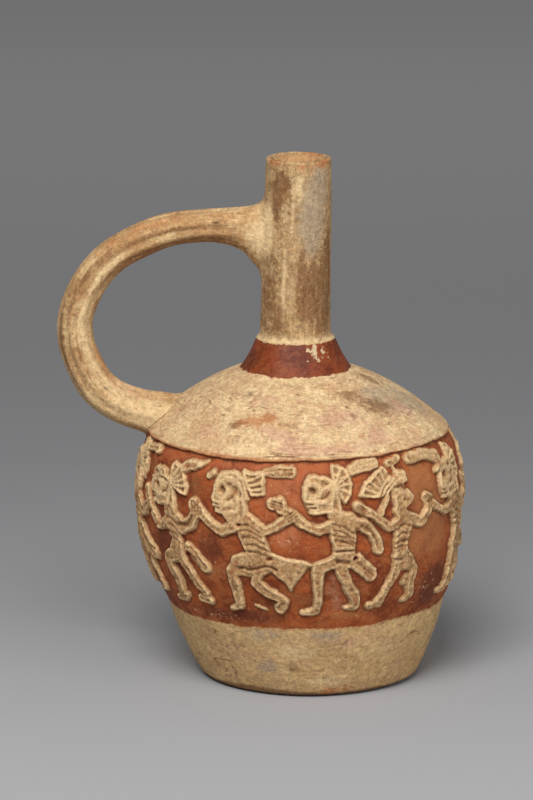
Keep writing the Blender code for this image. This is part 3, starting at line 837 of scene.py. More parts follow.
@dataclass
class PotForm:
    """The turned shape of the pot: its outlines, its lean and the marks of the hands."""

    height: float = 220.0
    base_flat: float = 43.0
    heel: tuple[Pair, ...] = ((43.0, 0.0), (44.9, 0.4), (46.4, 1.5), (47.4, 3.2))
    flank: tuple[Pair, ...] = ((47.4, 3.2), (49.9, 8.2), (53.1, 16.2), (56.4, 25.0), (58.8, 33.0))
    band_low: float = 33.0
    band_high: float = 104.3
    belly_height: float = 75.0
    belly_radius: float = 67.9
    belly_fall: float = 0.00522
    band_shoulder: float = 1.7
    lip: tuple[Pair, ...] = ((62.1, 104.3), (62.9, 104.7), (63.1, 105.2), (62.7, 105.9))
    dome: tuple[Pair, ...] = (
        (62.7, 105.9), (61.3, 107.1), (58.9, 109.3), (55.6, 112.0), (52.0, 115.0),
        (47.7, 118.1), (43.0, 121.0), (37.9, 123.9), (31.5, 127.1), (25.4, 129.6), (23.6, 130.3),
    )
    collar: tuple[Pair, ...] = ((23.6, 130.3), (22.6, 131.4), (19.9, 136.2), (17.4, 141.6), (16.7, 143.1))
    ledge: tuple[Pair, ...] = ((16.7, 143.1), (16.2, 143.9), (15.2, 144.5), (14.9, 145.6))
    neck: tuple[Pair, ...] = ((14.9, 145.6), (14.7, 152.0), (14.3, 175.0), (13.9, 200.0), (13.7, 218.6))
    rim: tuple[Pair, ...] = ((13.7, 218.6), (13.6, 219.4), (13.2, 219.85), (12.6, 219.95))
    hollow: tuple[Pair, ...] = (
        (39.5, 6.5), (43.6, 9.5), (46.4, 15.5), (54.3, 33.5), (60.6, 52.0), (63.2, 74.0), (61.6, 92.0),
        (57.6, 103.6), (51.6, 108.6), (44.4, 113.4), (35.6, 119.0), (27.0, 123.4), (19.4, 127.0),
        (13.6, 130.6), (11.2, 136.4), (10.6, 145.0), (10.3, 175.0), (10.4, 209.0),
    )
    mouth: tuple[Pair, ...] = ((10.4, 209.0), (11.1, 215.0), (11.6, 218.6), (12.2, 220.2))
    lean_belly: float = -3.7
    lean_collar: float = -5.9
    lean_rim: float = -4.6
    swell: float = 0.28
    fine: bool = True

    def lean(self, z: Array) -> Array:
        """How far the axis stands off in X at these heights.

        Args:
            z: Heights.

        Returns:
            The offsets in millimetres.
        """
        to_belly = self.lean_belly * rise(z, 0.0, self.belly_height)
        to_collar = (self.lean_collar - self.lean_belly) * rise(z, self.belly_height, 143.0)
        return to_belly + to_collar + (self.lean_rim - self.lean_collar) * rise(z, 143.0, self.height)

    def ground(self, z: Array) -> Array:
        """Radius of the band's ground at these heights.

        Args:
            z: Heights.

        Returns:
            The radii.
        """
        z = np.asarray(z, float)
        turned_in = self.band_shoulder * np.clip((z - 95.5) / 8.8, 0.0, None) ** 2
        return self.belly_radius - self.belly_fall * (z - self.belly_height) ** 2 - turned_in

    def outside(self) -> Array:
        """The outer outline above the foot as radius and height, from low to high.

        Returns:
            One row for each point.
        """
        heights = np.linspace(self.band_low, self.band_high, 90)
        band = np.column_stack([self.ground(heights), heights])
        parts = [flowing(p, 1.0) for p in (self.heel, self.flank)]
        parts += [band] + [flowing(p, 0.6) for p in (self.lip, self.dome, self.collar, self.ledge, self.neck)]
        return np.vstack(parts)

    def radius(self, z: Array) -> Array:
        """Outer radius at these heights, without the marks of the hands.

        Args:
            z: Heights.

        Returns:
            The radii.
        """
        outline = self.outside()
        order = np.argsort(outline[:, 1], kind="stable")
        return np.interp(z, outline[order, 1], outline[order, 0])

    def edge_wave(self, turn: Array) -> Array:
        """How far the shoulder's edge wanders up and down round the pot."""
        drift = 0.45 * np.sin(turn + 0.5) + 0.3 * np.sin(3 * turn - 0.6) + 0.16 * np.sin(7 * turn + 1.1)
        return drift + 0.13 * np.sin(17 * turn + 2.0) + 0.11 * np.sin(31 * turn + 0.4) + 0.08 * np.sin(53 * turn)

    def hand_marks(self, turn: Array, z: Array) -> Array:
        """Slow swellings that hand work leaves in the wall.

        Args:
            turn: Angles round the pot.
            z: Heights.

        Returns:
            Millimetres to add to the radius.
        """
        waves = ((1, 0.006, 0.4), (2, 0.013, 1.9), (3, 0.021, 4.1), (5, 0.017, 2.2), (2, 0.047, 5.0), (7, 0.033, 0.8))
        total = sum(np.sin(k * turn + 2 * math.pi * pace * z + phase) for k, pace, phase in waves)
        return self.swell * total / math.sqrt(len(waves))

    def rows(self) -> list[tuple[Array, int, bool]]:
        """The rings of the outer shape from the middle of the foot to the middle of the top.

        Returns:
            Radius and height pairs of each stretch, its points round, and whether figures lie on it.
        """
        dense, plain, slim = (864, 288, 144) if self.fine else (432, 144, 72)
        step = 0.5 if self.fine else 1.0
        foot = np.column_stack([np.linspace(6.0, self.base_flat - 1.5, 7), np.zeros(7)])
        heights = np.linspace(self.band_low, self.band_high, round((self.band_high - self.band_low) / step) + 1)
        band = np.column_stack([self.ground(heights), heights])
        return [
            (foot, plain, False),
            (flowing(self.heel, 0.7), plain, False),
            (flowing(self.flank, 1.1)[1:-1], plain, False),
            (band, dense, True),
            (flowing(self.lip, 0.4)[1:-1], dense, False),
            (flowing(self.dome, 0.95)[:-1], plain, False),
            (flowing(self.collar, 0.7), slim, False),
            (flowing(self.ledge, 0.45)[1:], slim, False),
            (flowing(self.neck, 1.0)[1:], slim, False),
            (flowing(self.rim, 0.4)[1:], slim, False),
            (np.array([[8.0, self.height - 0.05], [4.0, self.height - 0.05]]), slim, False),
        ]


@dataclass
class Frieze:
    """The moulded band, worked as heights on a flat strip that goes once round the belly."""

    length: float = 427.2
    low: float = 33.0
    high: float = 105.0
    halves: int = 2
    cell: float = 0.25
    slope_out: float = 0.32
    slope_in: float = 0.85
    channel_depth: float = 0.22
    fullness: float = 0.16
    relief_share: float = 1.22
    lowest: float = -0.5
    highest: float = 2.12
    height: Array = field(init=False)
    edge: Array = field(init=False)
    scored: Array = field(init=False)

    def __post_init__(self) -> None:
        """Works the strip."""
        self.columns = round(self.length / self.cell)
        self.lines = round((self.high - self.low) / self.cell) + 1
        shape = (self.lines, self.columns)
        self.height = np.zeros(shape)
        self.edge = np.full(shape, 6.0)
        self.scored = np.zeros(shape)
        self.line = np.zeros(shape)
        self.core = np.zeros(shape)
        self.drift_u = 0.34 * cloud(shape, self.cell, 5.0, 1) + 0.06 * cloud(shape, self.cell, 1.6, 2)
        self.drift_z = 0.34 * cloud(shape, self.cell, 5.0, 3) + 0.06 * cloud(shape, self.cell, 1.6, 4)
        self.ragged = 0.08 * cloud(shape, self.cell, 1.2, 5)
        dancers = company()
        shifts = [half * self.length / self.halves for half in range(self.halves)]
        for shift in shifts:
            for dancer in dancers:
                self.raise_dancer(dancer, shift)
        self.soften()
        for shift in shifts:
            for dancer in dancers:
                self.score_dancer(dancer, shift)
        self.weather()

    def window(self, reach: Box, margin: float) -> tuple[Array, Array, tuple[Array, Array]]:
        """The cells round a box on the strip.

        Args:
            reach: Lowest and highest u, then lowest and highest z of the box.
            margin: How far to look beyond it.

        Returns:
            The cells' u and z, and where they are in the field.
        """
        left, right = (reach[0] - margin) / self.cell, (reach[1] + margin) / self.cell
        columns = np.arange(math.floor(left), math.ceil(right) + 1)
        first = max(0, math.floor((reach[2] - margin - self.low) / self.cell))
        last = min(self.lines - 1, math.ceil((reach[3] + margin - self.low) / self.cell))
        lines = np.arange(first, last + 1)
        u, z = np.meshgrid(columns * self.cell, self.low + lines * self.cell)
        return u, z, np.ix_(lines, columns % self.columns)

    def near(self, stroke: Limb | Plate, shift: float, margin: float) -> tuple[Array, tuple[Array, Array]]:
        """Distance to a stroke's wavering edge.

        Args:
            stroke: The stroke.
            shift: How far it is shifted along the strip.
            margin: How far to look beyond its box.

        Returns:
            Millimetres outside the edge, and the cells that this is given for.
        """
        reach = stroke.reach()
        u, z, cells = self.window((reach[0] + shift, reach[1] + shift, *reach[2:]), margin)
        return stroke.gap(u - shift + self.drift_u[cells], z + self.drift_z[cells]), cells

    def raise_dancer(self, dancer: Dancer, shift: float) -> None:
        """Adds a skeleton's limbs, plates and ridges to the strip, shifted along it.

        Args:
            dancer: The skeleton.
            shift: How far it is shifted along the strip.
        """
        for stroke in (*dancer.limbs, *dancer.laid(), *dancer.lines()):
            gap, cells = self.near(stroke, shift, 4.0)
            gap = gap + self.ragged[cells] - self.fullness
            steep = min(self.slope_in, 0.3 + 0.5 * stroke.relief)
            top = stroke.relief * rise(-gap, -self.slope_out, steep)
            self.height[cells] = np.maximum(self.height[cells], top)
            self.edge[cells] = np.minimum(self.edge[cells], gap)
        for stroke in dancer.limbs:
            gap, cells = self.near(stroke, shift, 1.0)
            self.core[cells] = np.maximum(self.core[cells], -(gap + self.ragged[cells]))
        for stroke in dancer.lines():
            gap, cells = self.near(stroke, shift, 1.0)
            self.line[cells] = np.maximum(self.line[cells], 1.0 - rise(gap, -0.1, 0.45))

    def soften(self) -> None:
        """Sinks the tops inside thick rims, and leaves them lumpy, ridged and pitted."""
        shape = self.height.shape
        lumps = cloud(shape, self.cell, 2.4, 11)
        furrows = np.abs(cloud(shape, self.cell, 1.3, 13))
        pits = cloud(shape, self.cell, 0.75, 12)
        on_figure = rise(-self.edge, 0.1, 0.7)
        rim = rise(-self.edge, 0.15, 0.55) * (1.0 - rise(-self.edge, 0.8, 1.4))
        deep = rise(self.core, 0.85, 1.6) * (1.0 - self.line) * rise(cloud(shape, self.cell, 5.0, 14), -1.4, 0.8)
        rough = on_figure * (1.0 - 0.75 * self.line)
        self.height += on_figure * (0.12 * lumps + 0.12 * rim)
        self.height -= deep * (self.channel_depth + 0.04 * lumps)
        self.height += rough * 0.18 * (0.8 - furrows)
        self.height -= rough * 0.16 * rise(pits, 0.85, 1.7)
        self.pitted = rough * rise(pits, 0.35, 1.2)

    def score_dancer(self, dancer: Dancer, shift: float) -> None:
        """Cuts a skeleton's scored lines and hollows, shifted along the strip.

        Args:
            dancer: The skeleton.
            shift: How far it is shifted along the strip.
        """
        for groove in dancer.scored():
            gap, cells = self.near(Limb(groove.joints, (0.0,) * len(groove.joints)), shift, 2.5)
            gap = gap + 0.6 * self.ragged[cells]
            cut = 1.0 - rise(gap, 0.35 * groove.half_width, groove.half_width + 0.25)
            self.height[cells] -= groove.depth * cut * rise(self.height[cells], 0.2, 1.0)
            self.scored[cells] = np.maximum(self.scored[cells], cut * min(1.0, groove.depth / 0.6))
        for hollow in dancer.holes:
            (cu, cz), a, b = hollow.centre, hollow.half_width, hollow.half_height
            u, z, cells = self.window((cu - a + shift, cu + a + shift, cz - b, cz + b), 2.0)
            far = np.hypot((u - cu - shift) / a, (z - cz) / b)
            size = 0.5 * (a + b)
            cut = 1.0 - rise(far * size, size - 0.4, size + 0.3)
            wall = np.exp(-(((far - 1.0) * size - 0.5) / 0.45) ** 2)
            self.height[cells] += hollow.rim * wall * (self.height[cells] > 0.6) - hollow.depth * cut
            self.edge[cells] = np.maximum(self.edge[cells], np.where(cut > 0.5, 0.6, -6.0))

    def weather(self) -> None:
        """Leaves the ground uneven, as clay pressed by hand is, and rounds the whole a little."""
        shape = self.height.shape
        on_ground = 1.0 - rise(-self.edge, -0.6, 0.4)
        self.height += on_ground * (0.13 * cloud(shape, self.cell, 6.0, 21) + 0.05 * cloud(shape, self.cell, 1.6, 22))
        self.height -= on_ground * 0.28 * rise(-self.edge, -1.8, -0.2)
        self.height = np.clip(self.relief_share * self.height, self.lowest, self.highest)
        inner = self.height[1:-1]
        around = np.roll(inner, 1, 1) + np.roll(inner, -1, 1) + self.height[2:] + self.height[:-2]
        self.height[1:-1] = 0.55 * inner + 0.1125 * around
        fade = rise(np.arange(self.lines), 0, 8) * rise(np.arange(self.lines)[::-1], 0, 5)
        self.height *= fade[:, None]
        # How far each cell lies below its softened surroundings; the finish paints shade from it beside the figures
        # and highlights on their raised edges.
        self.sunk = smeared(self.height, self.cell, 2.6) - self.height

    def read(self, worked: Array, u: Array, z: Array) -> Array:
        """Reads a worked field between its cells.

        Args:
            worked: The field.
            u: Places along the strip.
            z: Heights.

        Returns:
            The field's value at each place.
        """
        column = np.asarray(u, float) / self.cell
        line = np.clip((np.asarray(z, float) - self.low) / self.cell, 0, self.lines - 1.001)
        c, r = np.floor(column).astype(int), np.floor(line).astype(int)
        fc, fr = column - c, line - r
        c0, c1 = c % self.columns, (c + 1) % self.columns
        low = worked[r, c0] * (1 - fc) + worked[r, c1] * fc
        high = worked[r + 1, c0] * (1 - fc) + worked[r + 1, c1] * fc
        return low * (1 - fr) + high * fr


def placed(name: str, data: bpy.types.ID) -> bpy.types.Object:
    """A new object in the scene.

    Args:
        name: Its name.
        data: The mesh, camera or light that it shows.

    Returns:
        The object.
    """
    made = bpy.data.objects.new(name, data)
    bpy.context.scene.collection.objects.link(made)
    return made


def mesh_from(name: str, points: Array, faces: list[Array]) -> bpy.types.Mesh:
    """Makes a mesh from points and faces.

    Args:
        name: The mesh's name.
        points: The vertices in millimetres.
        faces: Arrays of vertex numbers, one array for each number of corners.

    Returns:
        The new mesh in metres.
    """
    mesh = bpy.data.meshes.new(name)
    mesh.vertices.add(len(points))
    mesh.vertices.foreach_set("co", (np.asarray(points) * MM).astype(np.float32).ravel())
    corners = np.concatenate([part.ravel() for part in faces])
    counts = np.concatenate([np.full(len(part), part.shape[1]) for part in faces])
    mesh.loops.add(len(corners))
    mesh.loops.foreach_set("vertex_index", corners.astype(np.int32))
    mesh.polygons.add(len(counts))
    starts = np.concatenate([[0], np.cumsum(counts)[:-1]])
    mesh.polygons.foreach_set("loop_start", starts.astype(np.int32))
    mesh.update(calc_edges=True)
    mesh.validate()
    return mesh


class Lathe:
    """Gathers rings of points into one closed turned shape."""

    def __init__(self) -> None:
        """Starts with no rings."""
        self.points: list[Array] = []
        self.quads: list[Array] = []
        self.triangles: list[Array] = []
        self.count = 0
        self.first: Array | None = None
        self.last: Array | None = None

    def add(self, points: Array) -> Array:
        """Adds points and returns their numbers.

        Args:
            points: The points.

        Returns:
            The numbers.
        """
        self.points.append(points)
        numbers = np.arange(self.count, self.count + len(points))
        self.count += len(points)
        return numbers

    def ring(self, points: Array) -> None:
        """Adds a ring and joins it to the one before, whose count it shares, divides or is divided by.

        Args:
            points: Its points in order.
        """
        new = self.add(points)
        if self.last is None:
            self.first = new
        else:
            self.join(self.last, new)
        self.last = new

    def join(self, low: Array, high: Array) -> None:
        """Joins two rings with quads, or with fans of triangles where one is finer.

        Args:
            low: The numbers of the lower ring.
            high: The numbers of the upper ring.
        """
        if len(low) == len(high):
            self.quads.append(np.column_stack([low, np.roll(low, -1), np.roll(high, -1), high]))
            return
        fine, coarse = (low, high) if len(low) > len(high) else (high, low)
        share = len(fine) // len(coarse)
        middle = (share + 1) // 2
        after = np.roll(coarse, -1)
        made = []
        for k in range(share):
            here = fine[k::share]
            there = np.roll(fine, -1)[k::share]
            made.append(np.column_stack([here, there, coarse if k < middle else after]))
        turning = fine[middle::share] if middle < share else np.roll(fine, -share)[::share]
        made.append(np.column_stack([turning, after, coarse]))
        tris = np.vstack(made)
        self.triangles.append(tris if fine is low else tris[:, ::-1])

    def cap(self, point: Array, ring: Array, below: bool) -> None:
        """Closes a ring with a fan round one point.

        Args:
            point: The middle.
            ring: The ring's numbers.
            below: Whether it faces down.
        """
        middle = self.add(np.asarray([point], float))[0]
        fan = np.column_stack([np.full(len(ring), middle), np.roll(ring, -1), ring])
        self.triangles.append(fan if below else fan[:, ::-1])

    def mesh(self, name: str, low: tuple[float, ...], high: tuple[float, ...]) -> bpy.types.Mesh:
        """The shape as a mesh in metres, closed at its first ring and its last round two points.

        Args:
            name: Its name.
            low: The middle of the first cap.
            high: The middle of the last.

        Returns:
            The new mesh.
        """
        self.cap(low, self.first, True)
        self.cap(high, self.last, False)
        return mesh_from(name, np.vstack(self.points), [np.vstack(self.quads), np.vstack(self.triangles)])


def vectors(of: bpy.types.bpy_prop_collection, name: str) -> Array:
    """A vector of each item of a collection, one row each.

    Args:
        of: The collection.
        name: What its items call the vector.

    Returns:
        The vectors.
    """
    read = np.empty(len(of) * 3, np.float32)
    of.foreach_get(name, read)
    return read.reshape(-1, 3).astype(float)


def places_of(mesh: bpy.types.Mesh) -> Array:
    """The vertices of a mesh in millimetres."""
    return vectors(mesh.vertices, "co") / MM


def edges_of(mesh: bpy.types.Mesh) -> Array:
    """The edges of a mesh as pairs of vertex numbers.

    Args:
        mesh: The mesh.

    Returns:
        One pair for each edge.
    """
    pairs = np.empty(len(mesh.edges) * 2, np.int32)
    mesh.edges.foreach_get("vertices", pairs)
    return pairs.reshape(-1, 2)


def neighbours(pairs: Array, values: Array) -> tuple[Array, Array]:
    """The sum of what each vertex's neighbours along edges have, and how many they are.

    Args:
        pairs: The edges.
        values: What each vertex has.

    Returns:
        The sums, and the numbers of neighbours.
    """
    total, count = np.zeros_like(values), np.zeros(len(values))
    np.add.at(total, pairs[:, 0], values[pairs[:, 1]])
    np.add.at(total, pairs[:, 1], values[pairs[:, 0]])
    np.add.at(count, pairs.ravel(), 1.0)
    return total, count


def move_to(mesh: bpy.types.Mesh, places: Array) -> None:
    """Moves a mesh's vertices to places in millimetres."""
    mesh.vertices.foreach_set("co", (places * MM).astype(np.float32).ravel())
    mesh.update()


@dataclass
class Pot:
    """The turned pot with its band of figures, still without its hollow."""

    form: PotForm
    frieze: Frieze
    hollow_sides: int = 96
    hollow_floor: float = 6.5
    hollow_top: float = 221.0
    neck_height: float = 144.0
    neck_calm: float = 0.35
    mouth_height: float = 219.0

    def ring(self, radius: float, z: float, count: int, figures: bool) -> Array:
        """The points of one ring of the outside.

        Args:
            radius: Its radius before hand marks and figures.
            z: Its height.
            count: Points round it.
            figures: Whether the band's figures lie on it.

        Returns:
            The points in millimetres.
        """
        turn = np.arange(count) * 2 * math.pi / count
        soft = float(rise(radius, 5.0, 12.0)) if z > 1.0 else 0.0
        calm = self.neck_calm if z > self.neck_height else 1.0
        level = np.full(count, z)
        wide = radius + soft * calm * self.form.hand_marks(turn, level)
        if figures:
            wide = wide + self.frieze.read(self.frieze.height, turn * self.frieze.length / (2 * math.pi), level)
        near_edge = float(rise(z, 98.0, 104.3) * (1.0 - rise(z, 107.0, 118.0)))
        height = z + near_edge * self.form.edge_wave(turn)
        if z > self.mouth_height:
            height = height - 0.10 * (1.0 + np.sin(3 * turn + 0.4)) - 0.05 * (1.0 + np.sin(11 * turn))
        return np.column_stack([self.form.lean(height) + wide * np.sin(turn), -wide * np.cos(turn), height])

    def build(self) -> bpy.types.Mesh:
        """The closed outer shape.

        Returns:
            The new mesh.
        """
        lathe = Lathe()
        for stretch, count, figures in self.form.rows():
            for radius, z in stretch:
                lathe.ring(self.ring(radius, z, count, figures))
        top = self.form.height
        return lathe.mesh("pot", (0.0, 0.0, 0.0), (float(self.form.lean(top)), 0.0, top - 0.3))

    def hollow(self) -> bpy.types.Mesh:
        """The closed shape of the space inside.

        Returns:
            The new mesh.
        """
        lathe = Lathe()
        form, count, bottom, top = self.form, self.hollow_sides, self.hollow_floor, self.hollow_top
        turn = np.arange(count) * 2 * math.pi / count
        floor = np.column_stack([[8.0, 20.0, 32.0], [bottom] * 3])
        outline = np.vstack([floor, flowing(form.hollow, 3.0), flowing(form.mouth, 0.5)[1:], [[11.4, top]]])
        for radius, z in outline:
            level = np.full(count, z)
            wavy = radius + (0.25 * form.hand_marks(turn + 0.7, level) if z < 140 else 0.0)
            lathe.ring(np.column_stack([form.lean(z) + wavy * np.sin(turn), -wavy * np.cos(turn), level]))
        low = (float(form.lean(bottom)), 0.0, bottom - 0.1)
        return lathe.mesh("hollow", low, (float(form.lean(top)), 0.0, top))


@dataclass
class Handle:
    """The rolled handle: a soft oval roll that flares where it is pressed on at the neck."""

    knots: tuple[tuple[float, float, float, float], ...] = (
        (-8.0, 186.6, 16.5, 7.5), (-14.0, 187.0, 15.6, 7.2), (-19.4, 187.9, 13.4, 6.6), (-24.2, 189.2, 10.6, 6.6),
        (-29.5, 190.1, 8.7, 6.7), (-36.0, 190.7, 7.3, 6.8), (-43.6, 190.8, 6.7, 6.9), (-56.1, 189.2, 6.7, 7.0),
        (-67.8, 185.8, 6.9, 7.1), (-79.0, 180.1, 7.0, 7.2), (-87.9, 172.2, 7.1, 7.4), (-94.4, 162.6, 7.1, 7.6),
        (-97.7, 151.5, 7.1, 7.8), (-97.2, 140.8, 7.3, 8.0), (-93.9, 131.4, 7.6, 8.2), (-88.6, 122.6, 7.9, 8.4),
        (-80.4, 115.9, 8.2, 8.7), (-70.6, 112.0, 8.6, 9.2), (-61.0, 110.2, 9.3, 10.2), (-53.0, 108.6, 9.0, 10.2),
        (-46.0, 106.6, 8.0, 9.2),
    )
    sides: int = 72
    step: float = 1.0
    facet: float = 0.32
    facets: int = 9
    batch: int = 20000
    far_off: float = 60.0

    def __post_init__(self) -> None:
        """Draws the centreline and its frames."""
        line = flowing(self.knots, self.step)
        self.line = line
        run = np.gradient(line[:, :2], axis=0)
        self.run = run / np.hypot(*run.T)[:, None]
        self.across = np.column_stack([-self.run[:, 1], self.run[:, 0]])
        self.along = np.concatenate([[0.0], np.cumsum(np.hypot(*np.diff(line[:, :2], axis=0).T))])

    def build(self) -> bpy.types.Mesh:
        """The closed roll, with flats pressed along it.

        Returns:
            The new mesh.
        """
        lathe = Lathe()
        turn = np.arange(self.sides) * 2 * math.pi / self.sides
        for (x, z, tall, wide), across, along in zip(self.line, self.across, self.along):
            free = float(rise(along, 14.0, 30.0))
            press = self.facet * free * np.cos(self.facets * turn + 0.028 * along + 0.7 * np.sin(0.05 * along))
            dent = 0.22 * free * np.sin(3 * turn + 0.09 * along) + 0.16 * free * np.sin(0.21 * along + turn)
            a = (tall + press + dent) * np.cos(turn)
            b = (wide + press + dent) * np.sin(turn)
            lathe.ring(np.column_stack([x + a * across[0], -b, z + a * across[1]]))
        start, end = self.line[0], self.line[-1]
        return lathe.mesh("handle", (start[0], 0.0, start[1]), (end[0], 0.0, end[1]))

    def near(self, places: Array) -> tuple[Array, Array, Array]:
        """Where places stand against the roll.

        Args:
            places: Points in millimetres.

        Returns:
            Distance to its surface, the number of the nearest cut, and the angle round it.
        """
        distance = np.full(len(places), self.far_off)
        cut = np.zeros(len(places), int)
        angle = np.zeros(len(places))
        close = np.flatnonzero((places[:, 0] < -6.0) & (places[:, 2] > 92.0))
        for part in np.array_split(close, max(1, len(close) // self.batch)):
            x, y, z = places[part].T
            off = (x[:, None] - self.line[:, 0]) ** 2 + (z[:, None] - self.line[:, 1]) ** 2
            nearest = off.argmin(1)
            across = self.across[nearest]
            a = (x - self.line[nearest, 0]) * across[:, 0] + (z - self.line[nearest, 1]) * across[:, 1]
            tall, wide = self.line[nearest, 2], self.line[nearest, 3]
            share = np.hypot(a / tall, y / wide)
            size = np.hypot(a, y)
            distance[part] = size * (1.0 - 1.0 / np.maximum(share, 1e-3))
            cut[part] = nearest
            angle[part] = np.arctan2(-y / wide, a / tall)
        return distance, cut, angle


@dataclass
class ClayBody:
    """The whole jar as one closed piece, and what the brush and the kiln need to know of it."""

    form: PotForm
    frieze: Frieze
    handle: Handle
    neck_fillet: float = 7.0
    shoulder_fillet: float = 4.0
    joint_split: float = 150.0
    seam_rounds: int = 10
    triangles: int = 192000

    def pot_gap(self, places: Array) -> Array:
        """Distance outside the pot's wall, square to it.

        Args:
            places: Points in millimetres.

        Returns:
            Millimetres, negative in the clay.
        """
        z = places[:, 2]
        slope = (self.form.radius(z + 0.6) - self.form.radius(z - 0.6)) / 1.2
        out = np.hypot(places[:, 0] - self.form.lean(z), places[:, 1]) - self.form.radius(z)
        return out / np.sqrt(1.0 + np.minimum(slope, 4.0) ** 2)

    def fillet(self, mesh: bpy.types.Mesh, gap: Array) -> None:
        """Draws a surface out towards the piece it meets, so that their joint is a soft hollow.

        Args:
            mesh: The piece.
            gap: Distance of each vertex to the other piece.
        """
        places = places_of(mesh)
        size = np.where(places[:, 2] > self.joint_split, self.neck_fillet, self.shoulder_fillet)
        share = np.clip(1.0 - np.abs(gap) / size, 0.0, 1.0)
        move_to(mesh, places + vectors(mesh.vertex_normals, "vector") * (0.25 * size * share**2)[:, None])

    def join(self, body: bpy.types.Object, mesh: bpy.types.Mesh, how: Join) -> None:
        """Joins another closed mesh to the body's mesh, or takes it out.

        Args:
            body: The piece.
            mesh: The other mesh.
            how: Whether it is added or taken out.
        """
        tool = placed(mesh.name, mesh)
        change = body.modifiers.new(how.name.lower(), "BOOLEAN")
        change.operation = how.value
        change.solver = "MANIFOLD"
        change.object = tool
        self.settle(body)
        bpy.data.objects.remove(tool)

    def settle(self, body: bpy.types.Object) -> None:
        """Makes the body's finished shape its own mesh.

        Args:
            body: The piece.
        """
        graph = bpy.context.evaluated_depsgraph_get()
        mesh = bpy.data.meshes.new_from_object(body.evaluated_get(graph))
        body.modifiers.clear()
        body.data = mesh

    def build(self, name: str) -> bpy.types.Object:
        """The finished piece.

        Args:
            name: Name of the piece.

        Returns:
            The new object, with its fields for the finish.
        """
        pot = Pot(self.form, self.frieze)
        outer = pot.build()
        roll = self.handle.build()
        self.fillet(outer, self.handle.near(places_of(outer))[0])
        self.fillet(roll, self.pot_gap(places_of(roll)))
        body = placed(name, outer)
        self.join(body, roll, Join.ADD)
        self.ease_seam(body.data)
        self.join(body, pot.hollow(), Join.TAKE)
        self.thin_out(body)
        self.note_places(body.data)
        body.data.shade_smooth()
        return body

    def ease_seam(self, mesh: bpy.types.Mesh) -> None:
        """Evens out the clay along the seams between pot and handle.

        Args:
            mesh: The mesh.
        """
        places = places_of(mesh)
        to_pot = np.abs(self.pot_gap(places))
        to_roll = np.abs(self.handle.near(places)[0])
        weight = (1.0 - rise(to_pot, 1.2, 3.6)) * (1.0 - rise(to_roll, 1.2, 3.6))
        weight *= np.where(places[:, 2] > self.joint_split, 1.0, 0.75)
        moving = np.flatnonzero(weight > 0.01)
        pairs = edges_of(mesh)
        pairs = pairs[np.isin(pairs, moving).any(1)]
        for _ in range(self.seam_rounds):
            total, count = neighbours(pairs, places)
            mean = total[moving] / count[moving, None]
            places[moving] += (mean - places[moving]) * (0.6 * weight[moving])[:, None]
        move_to(mesh, places)

    def thin_out(self, body: bpy.types.Object) -> None:
        """Brings the piece within its triangles, most where the clay is flat.

        Args:
            body: The piece.
        """
        mesh = body.data
        mesh.calc_loop_triangles()
        have = len(mesh.loop_triangles)
        if have > self.triangles:
            thin = body.modifiers.new("thin_out", "DECIMATE")
            thin.ratio = self.triangles / have
            self.settle(body)

    def note_places(self, mesh: bpy.types.Mesh) -> None:
        """Writes down for each point where on the jar it lies, for the finish to use.

        Args:
            mesh: The mesh.
        """
        places = places_of(mesh)
        x, y, z = places.T
        turn = np.arctan2(x - self.form.lean(z), -y)
        u = turn * self.frieze.length / (2 * math.pi)
        far = np.hypot(x - self.form.lean(z), y)
        inside = rise(self.form.radius(z) - far, 1.9, 2.3) * rise(z, 4.0, 5.0)
        to_pot = np.maximum(self.pot_gap(places), 0.0)
        to_roll, cut, angle = self.handle.near(places)
        handle = rise(to_pot - np.abs(to_roll), -1.2, 1.2) * (1.0 - inside)
        wave = self.form.edge_wave(turn)
        low_edge = self.frieze.low - 0.4 + 0.35 * np.sin(3 * turn + 1.0)
        low_edge = low_edge + 1.3 * rise(turn, 0.50, 0.58) * (1 - rise(turn, 1.9, 2.2))
        band = np.minimum(z - low_edge, 104.75 + wave - z)
        band = np.where((inside > 0.5) | (handle > 0.5), -4.0, np.clip(band, -4.0, 4.0))
        on_band = band > -1.0
        figure = np.where(on_band, -self.frieze.read(self.frieze.edge, u, z), -3.0)
        wide = 0.5 * (self.handle.line[cut, 2] + self.handle.line[cut, 3])
        rolled = np.column_stack([wide * np.cos(angle), wide * np.sin(angle), 0.10 * self.handle.along[cut] + 300.0])
        round_neck = np.column_stack([x, y, 0.14 * z])
        drawn = np.column_stack([8.0 * np.sin(turn), -8.0 * np.cos(turn), z - far])
        grain = np.where((z > 143.5)[:, None], round_neck, drawn)
        grain = np.where(handle[:, None] > 0.5, rolled, grain)
        worked = {
            name: np.where(on_band, self.frieze.read(strip, u, z), 0.0)
            for name, strip in (
                ("scored", self.frieze.scored),
                ("pitted", self.frieze.pitted),
                ("line", self.frieze.line),
                ("core", self.frieze.core),
                ("relief", self.frieze.height),
                ("sunk", self.frieze.sunk),
            )
        }
        fields = {
            **worked,
            **self.stains(turn, z, handle, self.handle.along[cut], angle),
            "band": band,
            "figure": np.clip(figure, -3.0, 3.0),
            "flaked": np.exp(-(((turn - 0.50) / 0.34) ** 2) - ((z - 140.0) / 3.6) ** 2),
            "handle": handle,
            "inside": inside,
            "seam": np.clip(self.pot_gap(places) - to_roll, -4.0, 4.0) + 8.0 * (z > 130.0),
            "hollow": self.hollows(mesh, places),
            "turn": turn,
        }
        for name, values in fields.items():
            written = mesh.attributes.new(name, "FLOAT", "POINT")
            written.data.foreach_set("value", values.astype(np.float32))
        written = mesh.attributes.new("grain", "FLOAT_VECTOR", "POINT")
        written.data.foreach_set("vector", grain.astype(np.float32).ravel())

